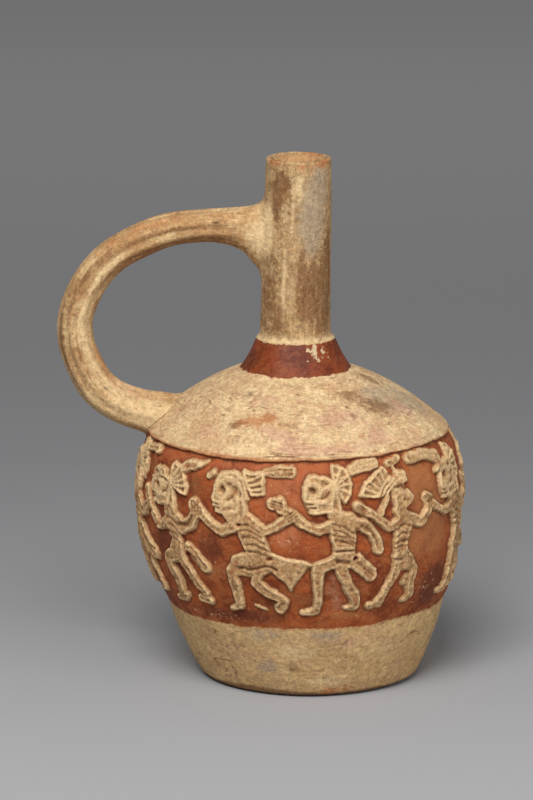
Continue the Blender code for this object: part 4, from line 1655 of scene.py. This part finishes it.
    def stains(self, turn: Array, z: Array, handle: Array, along: Array, angle: Array) -> dict[str, Array]:
        """How strongly each tint marks each point, the painted shadow and sheen among the stains.

        Args:
            turn: Angle round the pot from the front.
            z: Height.
            handle: 1 on the handle.
            along: Length along the handle.
            angle: Angle round the handle, 0 inside the loop and a quarter turn at the front.

        Returns:
            One field for each tint.
        """
        made = {tint.name.lower(): np.zeros(len(z)) for tint in Tint}
        for mark in stains():
            if mark.on_handle:
                strength = handle * mark.strength(along, angle)
            else:
                strength = (1.0 - handle) * mark.strength(turn * STAIN_RADIUS, z)
            made[mark.tint.name.lower()] += strength
        return {name: np.clip(total, 0.0, 1.2) for name, total in made.items()}

    def hollows(self, mesh: bpy.types.Mesh, places: Array) -> Array:
        """How far each point lies below its neighbours, as a share, negative on edges.

        Args:
            mesh: The mesh.
            places: Its vertices in millimetres.

        Returns:
            One share for each vertex.
        """
        pairs = edges_of(mesh)
        normals = vectors(mesh.vertex_normals, "vector")
        value = np.zeros(len(places))
        weight = np.zeros(len(places))
        for one, other in ((0, 1), (1, 0)):
            run = places[pairs[:, other]] - places[pairs[:, one]]
            length = np.linalg.norm(run, axis=1) + 1e-6
            lift = np.einsum("ij,ij->i", run, normals[pairs[:, one]]) / length
            np.add.at(value, pairs[:, one], lift)
            np.add.at(weight, pairs[:, one], 1.0)
        value = value / np.maximum(weight, 1.0)
        for _ in range(2):
            total, count = neighbours(pairs, value)
            value = 0.5 * value + 0.5 * total / np.maximum(count, 1.0)
        return np.clip(value * 4.0, -1.0, 1.0)


def tone(colour: Colour) -> tuple[float, float, float, float]:
    """A colour as the eye sees it, 0 to 255 each, as the shader wants it.

    Args:
        colour: Its red, green and blue.

    Returns:
        The same in linear light, with a full alpha.
    """
    seen = [part / 255.0 for part in colour]
    linear = [s / 12.92 if s <= 0.04045 else ((s + 0.055) / 1.055) ** 2.4 for s in seen]
    return (*linear, 1.0)


class Palette:
    """Lays out the shader nodes of one material and joins them up."""

    def __init__(self, name: str) -> None:
        """Starts a material with its surface shader.

        Args:
            name: The material's name.
        """
        self.material = bpy.data.materials.new(name)
        self.material.use_nodes = True
        self.tree = self.material.node_tree
        self.surface = self.tree.nodes["Principled BSDF"]

    def node(self, kind: str, inputs: dict[str | int, Value], **settings: str) -> bpy.types.Node:
        """A new node of the shader with its settings, and its inputs joined or set.

        Args:
            kind: Blender's name for it.
            inputs: What goes into its sockets.
            settings: Its choices.

        Returns:
            The node.
        """
        made = self.tree.nodes.new("ShaderNode" + kind)
        for name, setting in settings.items():
            setattr(made, name, setting)
        for name, value in inputs.items():
            self.put(made.inputs[name], value)
        return made

    def put(self, target: Socket, value: Value) -> None:
        """Joins a socket to another, or sets it to a number or a colour.

        Args:
            target: The socket to fill.
            value: What goes into it.
        """
        if isinstance(value, bpy.types.NodeSocket):
            self.tree.links.new(value, target)
        elif isinstance(value, tuple):
            target.default_value = tone(value) if len(value) == 3 and isinstance(value[0], int) else value
        else:
            target.default_value = value

    def math(self, how: str, one: Socket | float, other: Socket | float = 0.0) -> Socket:
        """One sum on numbers.

        Args:
            how: Blender's name for the sum.
            one: The first number.
            other: The second number.

        Returns:
            The result.
        """
        return self.node("Math", {0: one, 1: other}, operation=how).outputs[0]

    def between(self, value: Socket, low: float, high: float, to_low: float = 0.0, to_high: float = 1.0) -> Socket:
        """A smooth S of a value between two limits.

        Args:
            value: What to look at.
            low: Where the S starts.
            high: Where the S ends.
            to_low: What it is before.
            to_high: What it is after.

        Returns:
            The share.
        """
        limits = {"From Min": low, "From Max": high, "To Min": to_low, "To Max": to_high}
        return self.node("MapRange", {"Value": value, **limits}, interpolation_type="SMOOTHSTEP").outputs["Result"]

    def mix(self, share: Socket | float, one: Socket | Colour, other: Socket | Colour) -> Socket:
        """Lays one colour over another by a share.

        Args:
            share: The share of the other.
            one: The colour below.
            other: The colour on top.

        Returns:
            The colour.
        """
        return self.node("Mix", {0: share, 6: one, 7: other}, data_type="RGBA").outputs[2]

    def blend(self, share: Socket, one: Socket | float, other: Socket | float) -> Socket:
        """Passes from one number to another by a share."""
        return self.node("Mix", {0: share, 2: one, 3: other}).outputs[0]

    def carried(self, name: str) -> bpy.types.Node:
        """What the piece carries at each point under a name."""
        return self.node("Attribute", {}, attribute_name=name)

    def field(self, name: str) -> Socket:
        """A number that the piece carries at each point."""
        return self.carried(name).outputs["Fac"]

    def flow(self, name: str) -> Socket:
        """A vector that the piece carries at each point."""
        return self.carried(name).outputs["Vector"]

    def place(self) -> Socket:
        """The place on the object, in millimetres."""
        return self.dim(self.node("TexCoord", {}).outputs["Object"], 1.0 / MM)

    def noise(self, at: Socket, size: float, detail: float = 3.0, rough: float = 0.55, bend: float = 0.0) -> Socket:
        """Soft random patches.

        Args:
            at: Where to look, in millimetres.
            size: Size of a patch in millimetres.
            detail: How many finer layers it has.
            rough: How strong they are.
            bend: How far they are drawn about.

        Returns:
            A number about 0.5.
        """
        inputs = {"Vector": at, "Scale": 1.0 / size, "Detail": detail, "Roughness": rough, "Distortion": bend}
        return self.node("TexNoise", inputs).outputs["Fac"]

    def grains(self, at: Socket, size: float) -> Socket:
        """Distance to the nearest of scattered grains."""
        return self.node("TexVoronoi", {"Vector": at, "Scale": 1.0 / size}).outputs["Distance"]

    def lines(self, at: Socket, size: float, half_width: float) -> Socket:
        """Thin wandering lines: 1 on a line and 0 beside it."""
        off = self.math("ABSOLUTE", self.math("SUBTRACT", self.noise(at, size, 1.5, 0.5), 0.5))
        return self.between(off, 0.0, half_width, 1.0, 0.0)

    def dim(self, colour: Socket, share: Socket | float) -> Socket:
        """A colour or a place times a number."""
        return self.node("VectorMath", {0: colour, "Scale": share}, operation="SCALE").outputs[0]

    def plus(self, one: Socket | float, *others: Socket | float) -> Socket:
        """Several numbers added up.

        Args:
            one: The first number.
            others: The other numbers.

        Returns:
            The sum.
        """
        for other in others:
            one = self.math("ADD", one, other)
        return one

    def times(self, one: Socket | float, *others: Socket | float) -> Socket:
        """Several numbers multiplied.

        Args:
            one: The first number.
            others: The other numbers.

        Returns:
            The product.
        """
        for other in others:
            one = self.math("MULTIPLY", one, other)
        return one

    def split(self, at: Socket) -> tuple[Socket, Socket, Socket]:
        """The three numbers of a vector."""
        return tuple(self.node("SeparateXYZ", {0: at}).outputs)

    def bump(self, height: Socket, strength: float, depth: float) -> Socket:
        """A fine relief from heights given in millimetres."""
        return self.node("Bump", {"Strength": strength, "Distance": depth * MM, "Height": height}).outputs["Normal"]


@dataclass(frozen=True)
class Coat:
    """One layer of slip or bare clay: its tones, what shows through it, its streaks and its specks."""

    light: Colour
    dark: Colour
    worn: Colour
    patch: float = 14.0
    worn_share: float = 0.6
    streak: float = 3.0
    streak_share: float = 0.5
    speck: Colour = (92, 56, 30)
    speck_share: float = 0.7
    grit: float = 0.9
    roughness: float = 0.85
    flake: Colour = (226, 198, 150)
    flake_share: float = 0.0

    def paint(self, table: Palette, at: Socket, grain: Socket) -> Socket:
        """Mixes the coat's colour.

        Args:
            table: The material's nodes.
            at: The place on the object.
            grain: The place drawn out along the marks of the hand.

        Returns:
            The colour.
        """
        patches = table.between(table.noise(at, self.patch, 5.0, 0.62, 0.5), 0.40, 0.62)
        colour = table.mix(patches, self.light, self.dark)
        streaks = table.between(table.noise(grain, self.streak, 6.0, 0.7), 0.47, 0.62)
        colour = table.mix(table.times(streaks, self.streak_share), colour, self.dark)
        worn = table.between(table.noise(at, 0.42 * self.patch, 8.0, 0.74, 0.7), 0.50, 0.56)
        colour = table.mix(table.times(worn, self.worn_share), colour, self.worn)
        if self.flake_share:
            flakes = table.between(table.noise(at, 3.6, 8.0, 0.74, 0.4), 0.505, 0.53)
            thick = table.between(table.noise(at, 13.0, 3.0), 0.40, 0.60, 0.1, 1.0)
            colour = table.mix(table.times(flakes, thick, self.flake_share), colour, self.flake)
        specks = table.between(table.noise(at, 1.5, 4.0, 0.75), 0.575, 0.655)
        crowded = table.between(table.noise(at, 9.0, 2.0), 0.38, 0.62, 0.15, 1.0)
        colour = table.mix(table.times(specks, crowded, self.speck_share), colour, self.speck)
        grit = table.math("SUBTRACT", table.noise(at, 0.9, 3.0, 0.85), 0.5)
        return table.dim(colour, table.plus(1.0, table.times(grit, self.grit)))


@dataclass(frozen=True)
class FiredClay:
    """The whole jar's finish: bare clay, cream and red slips, wear, grime, pits, painted shade and highlights."""

    neck: Coat = Coat(
        (190, 155, 108), (152, 116, 75), (170, 140, 104), 13.0, 0.6, 1.4, 0.7, (92, 58, 32), 0.85, 1.4, 0.85,
        (212, 182, 136), 0.5,
    )
    handle: Coat = Coat((206, 174, 126), (170, 128, 84), (186, 146, 100), 18.0, 0.5, 1.3, 0.85, (104, 64, 34), 0.6)
    shoulder: Coat = Coat(
        (212, 182, 136), (200, 162, 118), (190, 146, 112), 16.0, 0.6, 1.1, 0.45, (120, 76, 44), 0.5, 0.6, 0.85,
        (228, 200, 152), 0.75,
    )
    flank: Coat = Coat(
        (206, 170, 118), (192, 154, 104), (188, 146, 110), 20.0, 0.55, 1.2, 0.3, (108, 66, 34), 0.6, 0.7, 0.85,
        (220, 186, 130), 0.6,
    )
    collar: Coat = Coat((136, 60, 24), (100, 40, 15), (146, 82, 42), 9.0, 0.35, 0.9, 0.5, (66, 30, 14), 0.6, 0.7, 0.5)
    red: Coat = Coat((168, 84, 38), (122, 54, 22), (168, 98, 54), 14.0, 0.6, 1.6, 0.5, (92, 42, 20), 0.5, 0.8, 0.78)
    cream: Coat = Coat((208, 170, 122), (184, 144, 98), (162, 118, 74), 6.0, 0.5, 1.6, 0.3, (112, 70, 38), 0.85, 1.4)
    inside: Coat = Coat((212, 168, 116), (176, 132, 88), (150, 106, 68), 12.0, 0.5, 2.5, 0.4)
    # Pale flecks and crumbs, and the painted highlight on the figures' raised edges and lines.
    ridge: Colour = (226, 194, 146)
    # Painted shade in the sunken tops and on the lower slopes of the figures.
    painted_trough_shade: Colour = (160, 116, 72)
    pit: Colour = (116, 72, 40)
    # Painted shade on the red ground beside the figures and in the grooves.
    painted_recess_shade: Colour = (104, 42, 22)
    crumb: Colour = (118, 74, 42)
    rubbed_red: Colour = (166, 98, 58)
    # Dark brown of grime and of the crack at the handle's joint, also painted shadow under the lip and shade in
    # hollows.
    dirt_and_shade: Colour = (84, 46, 26)
    flake: Colour = (204, 178, 140)
    ledge_height: float = 143.4
    collar_foot: float = 130.8
    shoulder_height: float = 104.7
    surface_depth: float = 0.5

    def stained(self, table: Palette, at: Socket, colour: Socket, tint: Tint, share: float) -> Socket:
        """Lays a stain, or the rose tint's painted sheen, over a colour, broken up as the real ones are.

        Args:
            table: The material's nodes.
            at: The place on the object.
            colour: The colour so far.
            tint: What has stained it.
            share: How strongly.

        Returns:
            The stained colour.
        """
        broken = table.math("SUBTRACT", table.noise(at, 3.0, 7.0, 0.8, 0.4), 0.5)
        reach = table.plus(table.field(tint.name.lower()), table.times(broken, 1.7))
        cover = table.times(table.between(reach, 0.26, 0.78), share)
        return table.mix(cover, colour, tint.value)

    def clay(self, table: Palette, at: Socket, grain: Socket, height: Socket) -> Socket:
        """The colour outside the band: flank, shoulder, collar, neck and handle.

        Args:
            table: The material's nodes.
            at: The place on the object.
            grain: The place drawn out along the marks of the hand.
            height: The height, made ragged.

        Returns:
            The colour.
        """
        z = table.split(at)[2]
        colour = self.flank.paint(table, at, grain)
        on_shoulder = table.between(z, self.shoulder_height - 0.6, self.shoulder_height)
        colour = table.mix(on_shoulder, colour, self.shoulder.paint(table, at, grain))
        drawn = table.times(table.lines(grain, 5.0, 0.018), table.between(table.noise(at, 11.0, 3.0), 0.47, 0.58))
        colour = table.mix(table.times(drawn, 0.8), colour, Tint.BROWN.value)
        on_neck = table.between(height, self.ledge_height - 0.2, self.ledge_height + 0.2)
        colour = table.mix(on_neck, colour, self.neck.paint(table, at, grain))
        colour = table.mix(table.field("handle"), colour, self.handle.paint(table, at, grain))
        shares = {Tint.GREY: 0.75, Tint.PINK: 0.6, Tint.PALE: 0.7, Tint.BROWN: 0.75, Tint.ORANGE: 0.75}
        for tint, share in shares.items():
            colour = self.stained(table, at, colour, tint, share)
        swing = table.times(table.math("SUBTRACT", table.noise(at, 12.0, 3.0), 0.5), 3.0)
        collar_low = table.plus(height, swing)
        on_collar = table.between(collar_low, self.collar_foot - 0.25, self.collar_foot + 0.25)
        bare = table.math("MAXIMUM", on_neck, table.field("handle"))
        on_collar = table.times(on_collar, table.math("SUBTRACT", 1.0, bare))
        collar = self.collar.paint(table, at, grain)
        lost = table.plus(table.noise(at, 2.4, 6.0, 0.72), table.times(table.field("flaked"), 0.31))
        collar = table.mix(table.between(lost, 0.70, 0.725), collar, self.flake)
        return table.mix(on_collar, colour, collar)

    def gritty(self, table: Palette, at: Socket, colour: Socket, share: Socket) -> Socket:
        """Breaks a colour up into light and dark grains, brown crumbs and pale crumbs.

        Args:
            table: The material's nodes.
            at: The place on the object.
            colour: The colour so far.
            share: How strongly it is broken up, place by place.

        Returns:
            The broken colour.
        """
        grains = table.between(table.noise(at, 1.7, 5.0, 0.78), 0.34, 0.66, -1.0, 1.0)
        drawn = table.between(table.noise(table.flow("grain"), 0.8, 4.0, 0.7), 0.34, 0.66, -1.0, 1.0)
        light = table.plus(table.times(grains, 0.22), table.times(drawn, 0.08))
        colour = table.dim(colour, table.plus(1.0, table.times(light, share)))
        crowded = table.between(table.noise(at, 15.0, 4.0, 0.6), 0.46, 0.62, 0.06, 1.0)
        brown = table.between(table.noise(at, 2.3, 6.0, 0.82), 0.565, 0.61)
        colour = table.mix(table.times(brown, crowded, share, 0.7), colour, self.crumb)
        pale = table.between(table.noise(at, 2.9, 6.0, 0.84, 0.3), 0.39, 0.43, 1.0, 0.0)
        return table.mix(table.times(pale, share, 0.3), colour, self.ridge)

    def figures(self, table: Palette, at: Socket, grain: Socket) -> Socket:
        """The figures' colour: painted highlights on ridges, painted brown shade in troughs, pits and scored lines.

        Args:
            table: The material's nodes.
            at: The place on the object.
            grain: The place drawn out along the marks of the hand.

        Returns:
            The colour.
        """
        colour = self.cream.paint(table, at, grain)
        # Painted shade: the sunken middles of the limbs darkened towards a dull brown.
        broken = table.between(table.noise(at, 1.6, 5.0, 0.75), 0.36, 0.60)
        core = table.times(table.between(table.field("core"), 0.6, 1.5), broken)
        colour = table.mix(table.times(core, 0.22), colour, self.painted_trough_shade)
        # Painted shade: the lower parts inside the figures, their slopes, darkened towards a dull brown.
        low = table.between(table.field("relief"), 0.6, 1.4, 1.0, 0.0)
        inner = table.between(table.field("figure"), 0.35, 0.9)
        colour = table.mix(table.times(low, inner, 0.45), colour, self.painted_trough_shade)
        crust = table.between(table.noise(at, 1.2, 6.0, 0.86), 0.51, 0.58)
        within = table.between(table.field("core"), 0.35, 0.9)
        patchy = table.between(table.noise(at, 7.0, 3.0), 0.36, 0.54, 0.25, 1.0)
        colour = table.mix(table.times(crust, within, patchy, 0.8), colour, self.crumb)
        worn = table.between(table.noise(at, 5.0, 7.0, 0.8, 0.5), 0.545, 0.60)
        colour = table.mix(table.times(worn, 0.6), colour, self.rubbed_red)
        # Painted highlight: the figures' raised edges and thin raised lines lightened towards the pale colour, broken
        # up by noise.
        painted_edge_highlight = table.between(table.field("sunk"), -0.75, -0.20, 1.0, 0.0)
        light = table.math("MAXIMUM", painted_edge_highlight, table.times(table.field("line"), 0.9))
        highlight_breakup = table.between(table.noise(at, 1.1, 4.0, 0.75), 0.34, 0.52)
        colour = table.mix(table.times(light, highlight_breakup, 0.8), colour, self.ridge)
        colour = table.mix(table.times(table.field("pitted"), 0.28), colour, self.pit)
        return table.mix(table.times(table.field("scored"), 0.34), colour, self.pit)

    def make(self) -> bpy.types.Material:
        """The material, mixed from its coats by the fields that the jar carries.

        Returns:
            The new material.
        """
        table = Palette("fired_clay")
        at = table.place()
        grain = table.flow("grain")
        fine = table.noise(at, 2.2, 5.0, 0.68)
        ragged = table.times(table.math("SUBTRACT", fine, 0.5), 2.0)
        slow = table.times(table.math("SUBTRACT", table.noise(at, 8.0, 3.0), 0.5), 2.0)
        z = table.split(at)[2]
        height = table.plus(z, ragged)
        band, figure, inside = table.field("band"), table.field("figure"), table.field("inside")

        colour = self.clay(table, at, grain, height)
        edge = table.plus(band, table.plus(table.times(ragged, 1.1), table.times(slow, 0.9)))
        in_band = table.between(edge, -0.2, 0.25)
        washed = table.times(table.between(edge, -1.2, -0.1), table.between(fine, 0.40, 0.60), 0.7)
        colour = table.mix(washed, colour, Tint.ORANGE.value)
        red = self.red.paint(table, at, grain)
        shares = {
            Tint.GREY: 0.35, Tint.PINK: 0.5, Tint.BROWN: 0.6, Tint.ORANGE: 0.75, Tint.MAROON: 0.75, Tint.ROSE: 0.6,
        }
        # The rose tint lays a painted sheen along the top of the band, and rose stains elsewhere.
        for tint, share in shares.items():
            red = self.stained(table, at, red, tint, share)
        speckled = table.plus(table.noise(at, 1.4, 5.0, 0.72), table.times(table.field("pale"), 0.085))
        flecks = table.times(table.between(speckled, 0.66, 0.69), 0.8)
        red = table.mix(flecks, red, self.ridge)
        # Painted shade: the red ground darkened where it lies below its softened surroundings, beside the figures and
        # in the grooves.
        red = table.mix(table.times(table.between(table.field("sunk"), 0.15, 0.9), 0.32), red, self.painted_recess_shade)
        colour = table.mix(in_band, colour, red)
        slip_edge = table.plus(figure, table.times(ragged, 0.95))
        on_figure = table.times(table.between(slip_edge, -0.45, 0.15), in_band)
        colour = table.mix(on_figure, colour, self.figures(table, at, grain))
        # Painted shadow and grime: a broken dark line under the shoulder's lip.
        shadow_under_lip = table.times(table.between(band, -0.55, -0.1), table.between(band, 0.1, 0.9, 1.0, 0.0))
        broken = table.between(table.noise(at, 5.0, 5.0, 0.7), 0.38, 0.52)
        top = table.between(z, 95.0, 98.0)
        colour = table.mix(table.times(shadow_under_lip, broken, top, 0.45), colour, self.dirt_and_shade)
        seam = table.math("ABSOLUTE", table.plus(table.field("seam"), table.times(ragged, 0.8)))
        crack = table.times(table.between(seam, 0.0, 0.42, 1.0, 0.0), table.between(slow, -0.5, 0.0), 0.8)
        crack = table.times(crack, table.between(z, 111.0, 116.0, 1.0, 0.15))
        colour = table.mix(crack, colour, self.dirt_and_shade)
        gloss = table.times(table.between(z, 130.5, 131.5), table.between(z, 142.8, 143.6, 1.0, 0.0))
        gloss = table.times(gloss, table.between(table.field("handle"), 0.0, 0.5, 1.0, 0.0))
        ground = table.math("SUBTRACT", table.plus(in_band, gloss), table.times(on_figure, 0.6))
        colour = self.gritty(table, at, colour, table.math("SUBTRACT", 1.0, table.times(ground, 0.75)))
        # Dark marks: holes and pits, and the painted shadow all round the foot.
        colour = table.mix(table.times(table.field("dark"), 0.9), colour, Tint.DARK.value)
        colour = table.mix(inside, colour, self.inside.paint(table, at, grain))
        # Grime and painted shade: the surface's small hollows darkened.
        sunk = table.between(table.field("hollow"), 0.10, 0.55)
        colour = table.mix(table.times(sunk, 0.45), colour, self.dirt_and_shade)
        table.put(table.surface.inputs["Base Color"], colour)

        rough = table.blend(gloss, self.shoulder.roughness, self.collar.roughness)
        rough = table.blend(in_band, rough, self.red.roughness)
        rough = table.blend(on_figure, rough, self.cream.roughness)
        table.put(table.surface.inputs["Roughness"], table.plus(rough, table.times(ragged, 0.12)))
        table.surface.inputs["Specular IOR Level"].default_value = 0.3
        self.texture(table, at, grain)
        return table.material

    def texture(self, table: Palette, at: Socket, grain: Socket) -> None:
        """The fine relief of the surface: grit, drawn marks, scattered pores and soft unevenness.

        Args:
            table: The material's nodes.
            at: The place on the object.
            grain: The place drawn out along the marks of the hand.
        """
        pores = table.between(table.grains(at, 2.4), 0.05, 0.24, -1.0, 0.0)
        rare = table.between(table.noise(at, 4.0, 3.0), 0.50, 0.58)
        parts = (
            table.times(table.noise(at, 0.8, 4.0, 0.75), 0.55),
            table.times(table.noise(grain, 0.9, 4.0, 0.65), 0.5),
            table.times(pores, rare, 0.7),
            table.times(table.noise(at, 2.6, 3.0), 0.8),
            table.times(table.lines(grain, 5.0, 0.016), -0.12),
        )
        table.put(table.surface.inputs["Normal"], table.bump(table.plus(*parts), 0.7, self.surface_depth))


@dataclass
class Studio:
    """A pale floor graded with painted shade and light, soft lights and the camera."""

    eye: tuple[float, float, float] = (-0.01795, -1.9495, 0.5628)
    tilt_down: float = 12.9
    lens: float = 214.2
    sensor: float = 36.0
    floor_tone: Colour = (166, 166, 168)
    painted_shade_tone: Colour = (139, 139, 141)
    painted_light_tone: Colour = (181, 181, 183)
    floor_reach: float = 9.0
    floor_gap: float = 0.0001
    key: float = 30.0
    key_place: tuple[float, float, float] = (-0.26, -1.12, 1.42)
    key_size: float = 0.9
    fill: float = 8.0
    fill_place: tuple[float, float, float] = (1.1, -1.2, 0.7)
    fill_size: float = 1.0
    lit_height: float = 0.11
    world: float = 0.22

    def camera(self) -> bpy.types.Object:
        """The camera at the photograph's viewing angle.

        Returns:
            The camera.
        """
        data = bpy.data.cameras.new("camera")
        data.lens = self.lens
        data.sensor_width = self.sensor
        data.clip_start, data.clip_end = 0.01, 30.0
        made = placed("camera", data)
        made.location = self.eye
        made.rotation_euler = (math.radians(90.0 - self.tilt_down), 0.0, 0.0)
        bpy.context.scene.camera = made
        return made

    def floor(self) -> bpy.types.Object:
        """A wide flat floor, a hair below the foot, graded with painted shade behind the jar and painted light
        beyond.

        Returns:
            The floor.
        """
        side, low = self.floor_reach, -self.floor_gap
        points = [(-side, -side, low), (side, -side, low), (side, side, low), (-side, side, low)]
        mesh = bpy.data.meshes.new("studio_floor")
        mesh.from_pydata(points, [], [(0, 1, 2, 3)])
        table = Palette("pale_floor")
        at = table.place()
        back = table.split(at)[1]
        # Painted shade and light: the floor darkens behind the jar and lightens again far back, standing in for the
        # lights' falloff.
        tones = table.mix(table.between(back, -150.0, 420.0), self.floor_tone, self.painted_shade_tone)
        tones = table.mix(table.between(back, 500.0, 1700.0), tones, self.painted_light_tone)
        table.put(table.surface.inputs["Base Color"], tones)
        table.surface.inputs["Roughness"].default_value = 0.9
        mesh.materials.append(table.material)
        made = placed("studio_floor", mesh)
        return made

    def light(self, name: str, place: tuple[float, float, float], size: float, power: float) -> bpy.types.Object:
        """A soft square light that looks at the jar.

        Args:
            name: Its name.
            place: Where it hangs.
            size: Its width.
            power: Its power in watts.

        Returns:
            The light.
        """
        data = bpy.data.lights.new(name, "AREA")
        data.size = size
        data.energy = power
        made = placed(name, data)
        made.location = place
        heading = Vector((0.0, 0.0, self.lit_height)) - Vector(place)
        made.rotation_euler = heading.to_track_quat("-Z", "Y").to_euler()
        return made

    def build(self) -> None:
        """Sets up the camera, the floor and the lights."""
        self.camera()
        self.floor()
        self.light("key_light", self.key_place, self.key_size, self.key)
        self.light("fill_light", self.fill_place, self.fill_size, self.fill)
        world = bpy.data.worlds.new("studio")
        world.use_nodes = True
        background = world.node_tree.nodes["Background"].inputs
        background["Color"].default_value = (1.0, 1.0, 1.0, 1.0)
        background["Strength"].default_value = self.world
        bpy.context.scene.world = world
        bpy.context.scene.view_settings.view_transform = "Standard"


@dataclass
class HandledJar:
    """The jar: its clay body and its finish."""

    name: str = "jar_clay"
    finish: FiredClay = field(default_factory=FiredClay)

    def build(self) -> bpy.types.Object:
        """Makes the piece, dresses it and seats it in the frame.

        Returns:
            The piece.
        """
        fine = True
        frieze = Frieze(cell=0.25 if fine else 0.5)
        clay = ClayBody(PotForm(fine=fine), frieze, Handle())
        piece = clay.build(self.name)
        piece.data.materials.clear()
        piece.data.materials.append(self.finish.make())
        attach(piece, "root")
        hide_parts("jar")
        return piece


def corners(box: tuple[Vector, Vector]) -> list[list[float]]:
    """A box as plain lists of numbers."""
    return [[float(value) for value in corner] for corner in box]


def main() -> None:
    """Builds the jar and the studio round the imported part."""
    logging.basicConfig(level=logging.INFO, format="%(name)s: %(message)s")
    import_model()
    Studio().build()
    LOG.info("studio: camera, floor and lights")
    piece = HandledJar().build()
    piece.data.calc_loop_triangles()
    LOG.info("%s: %d triangles", piece.name, len(piece.data.loop_triangles))


if __name__ == "__main__":
    main()
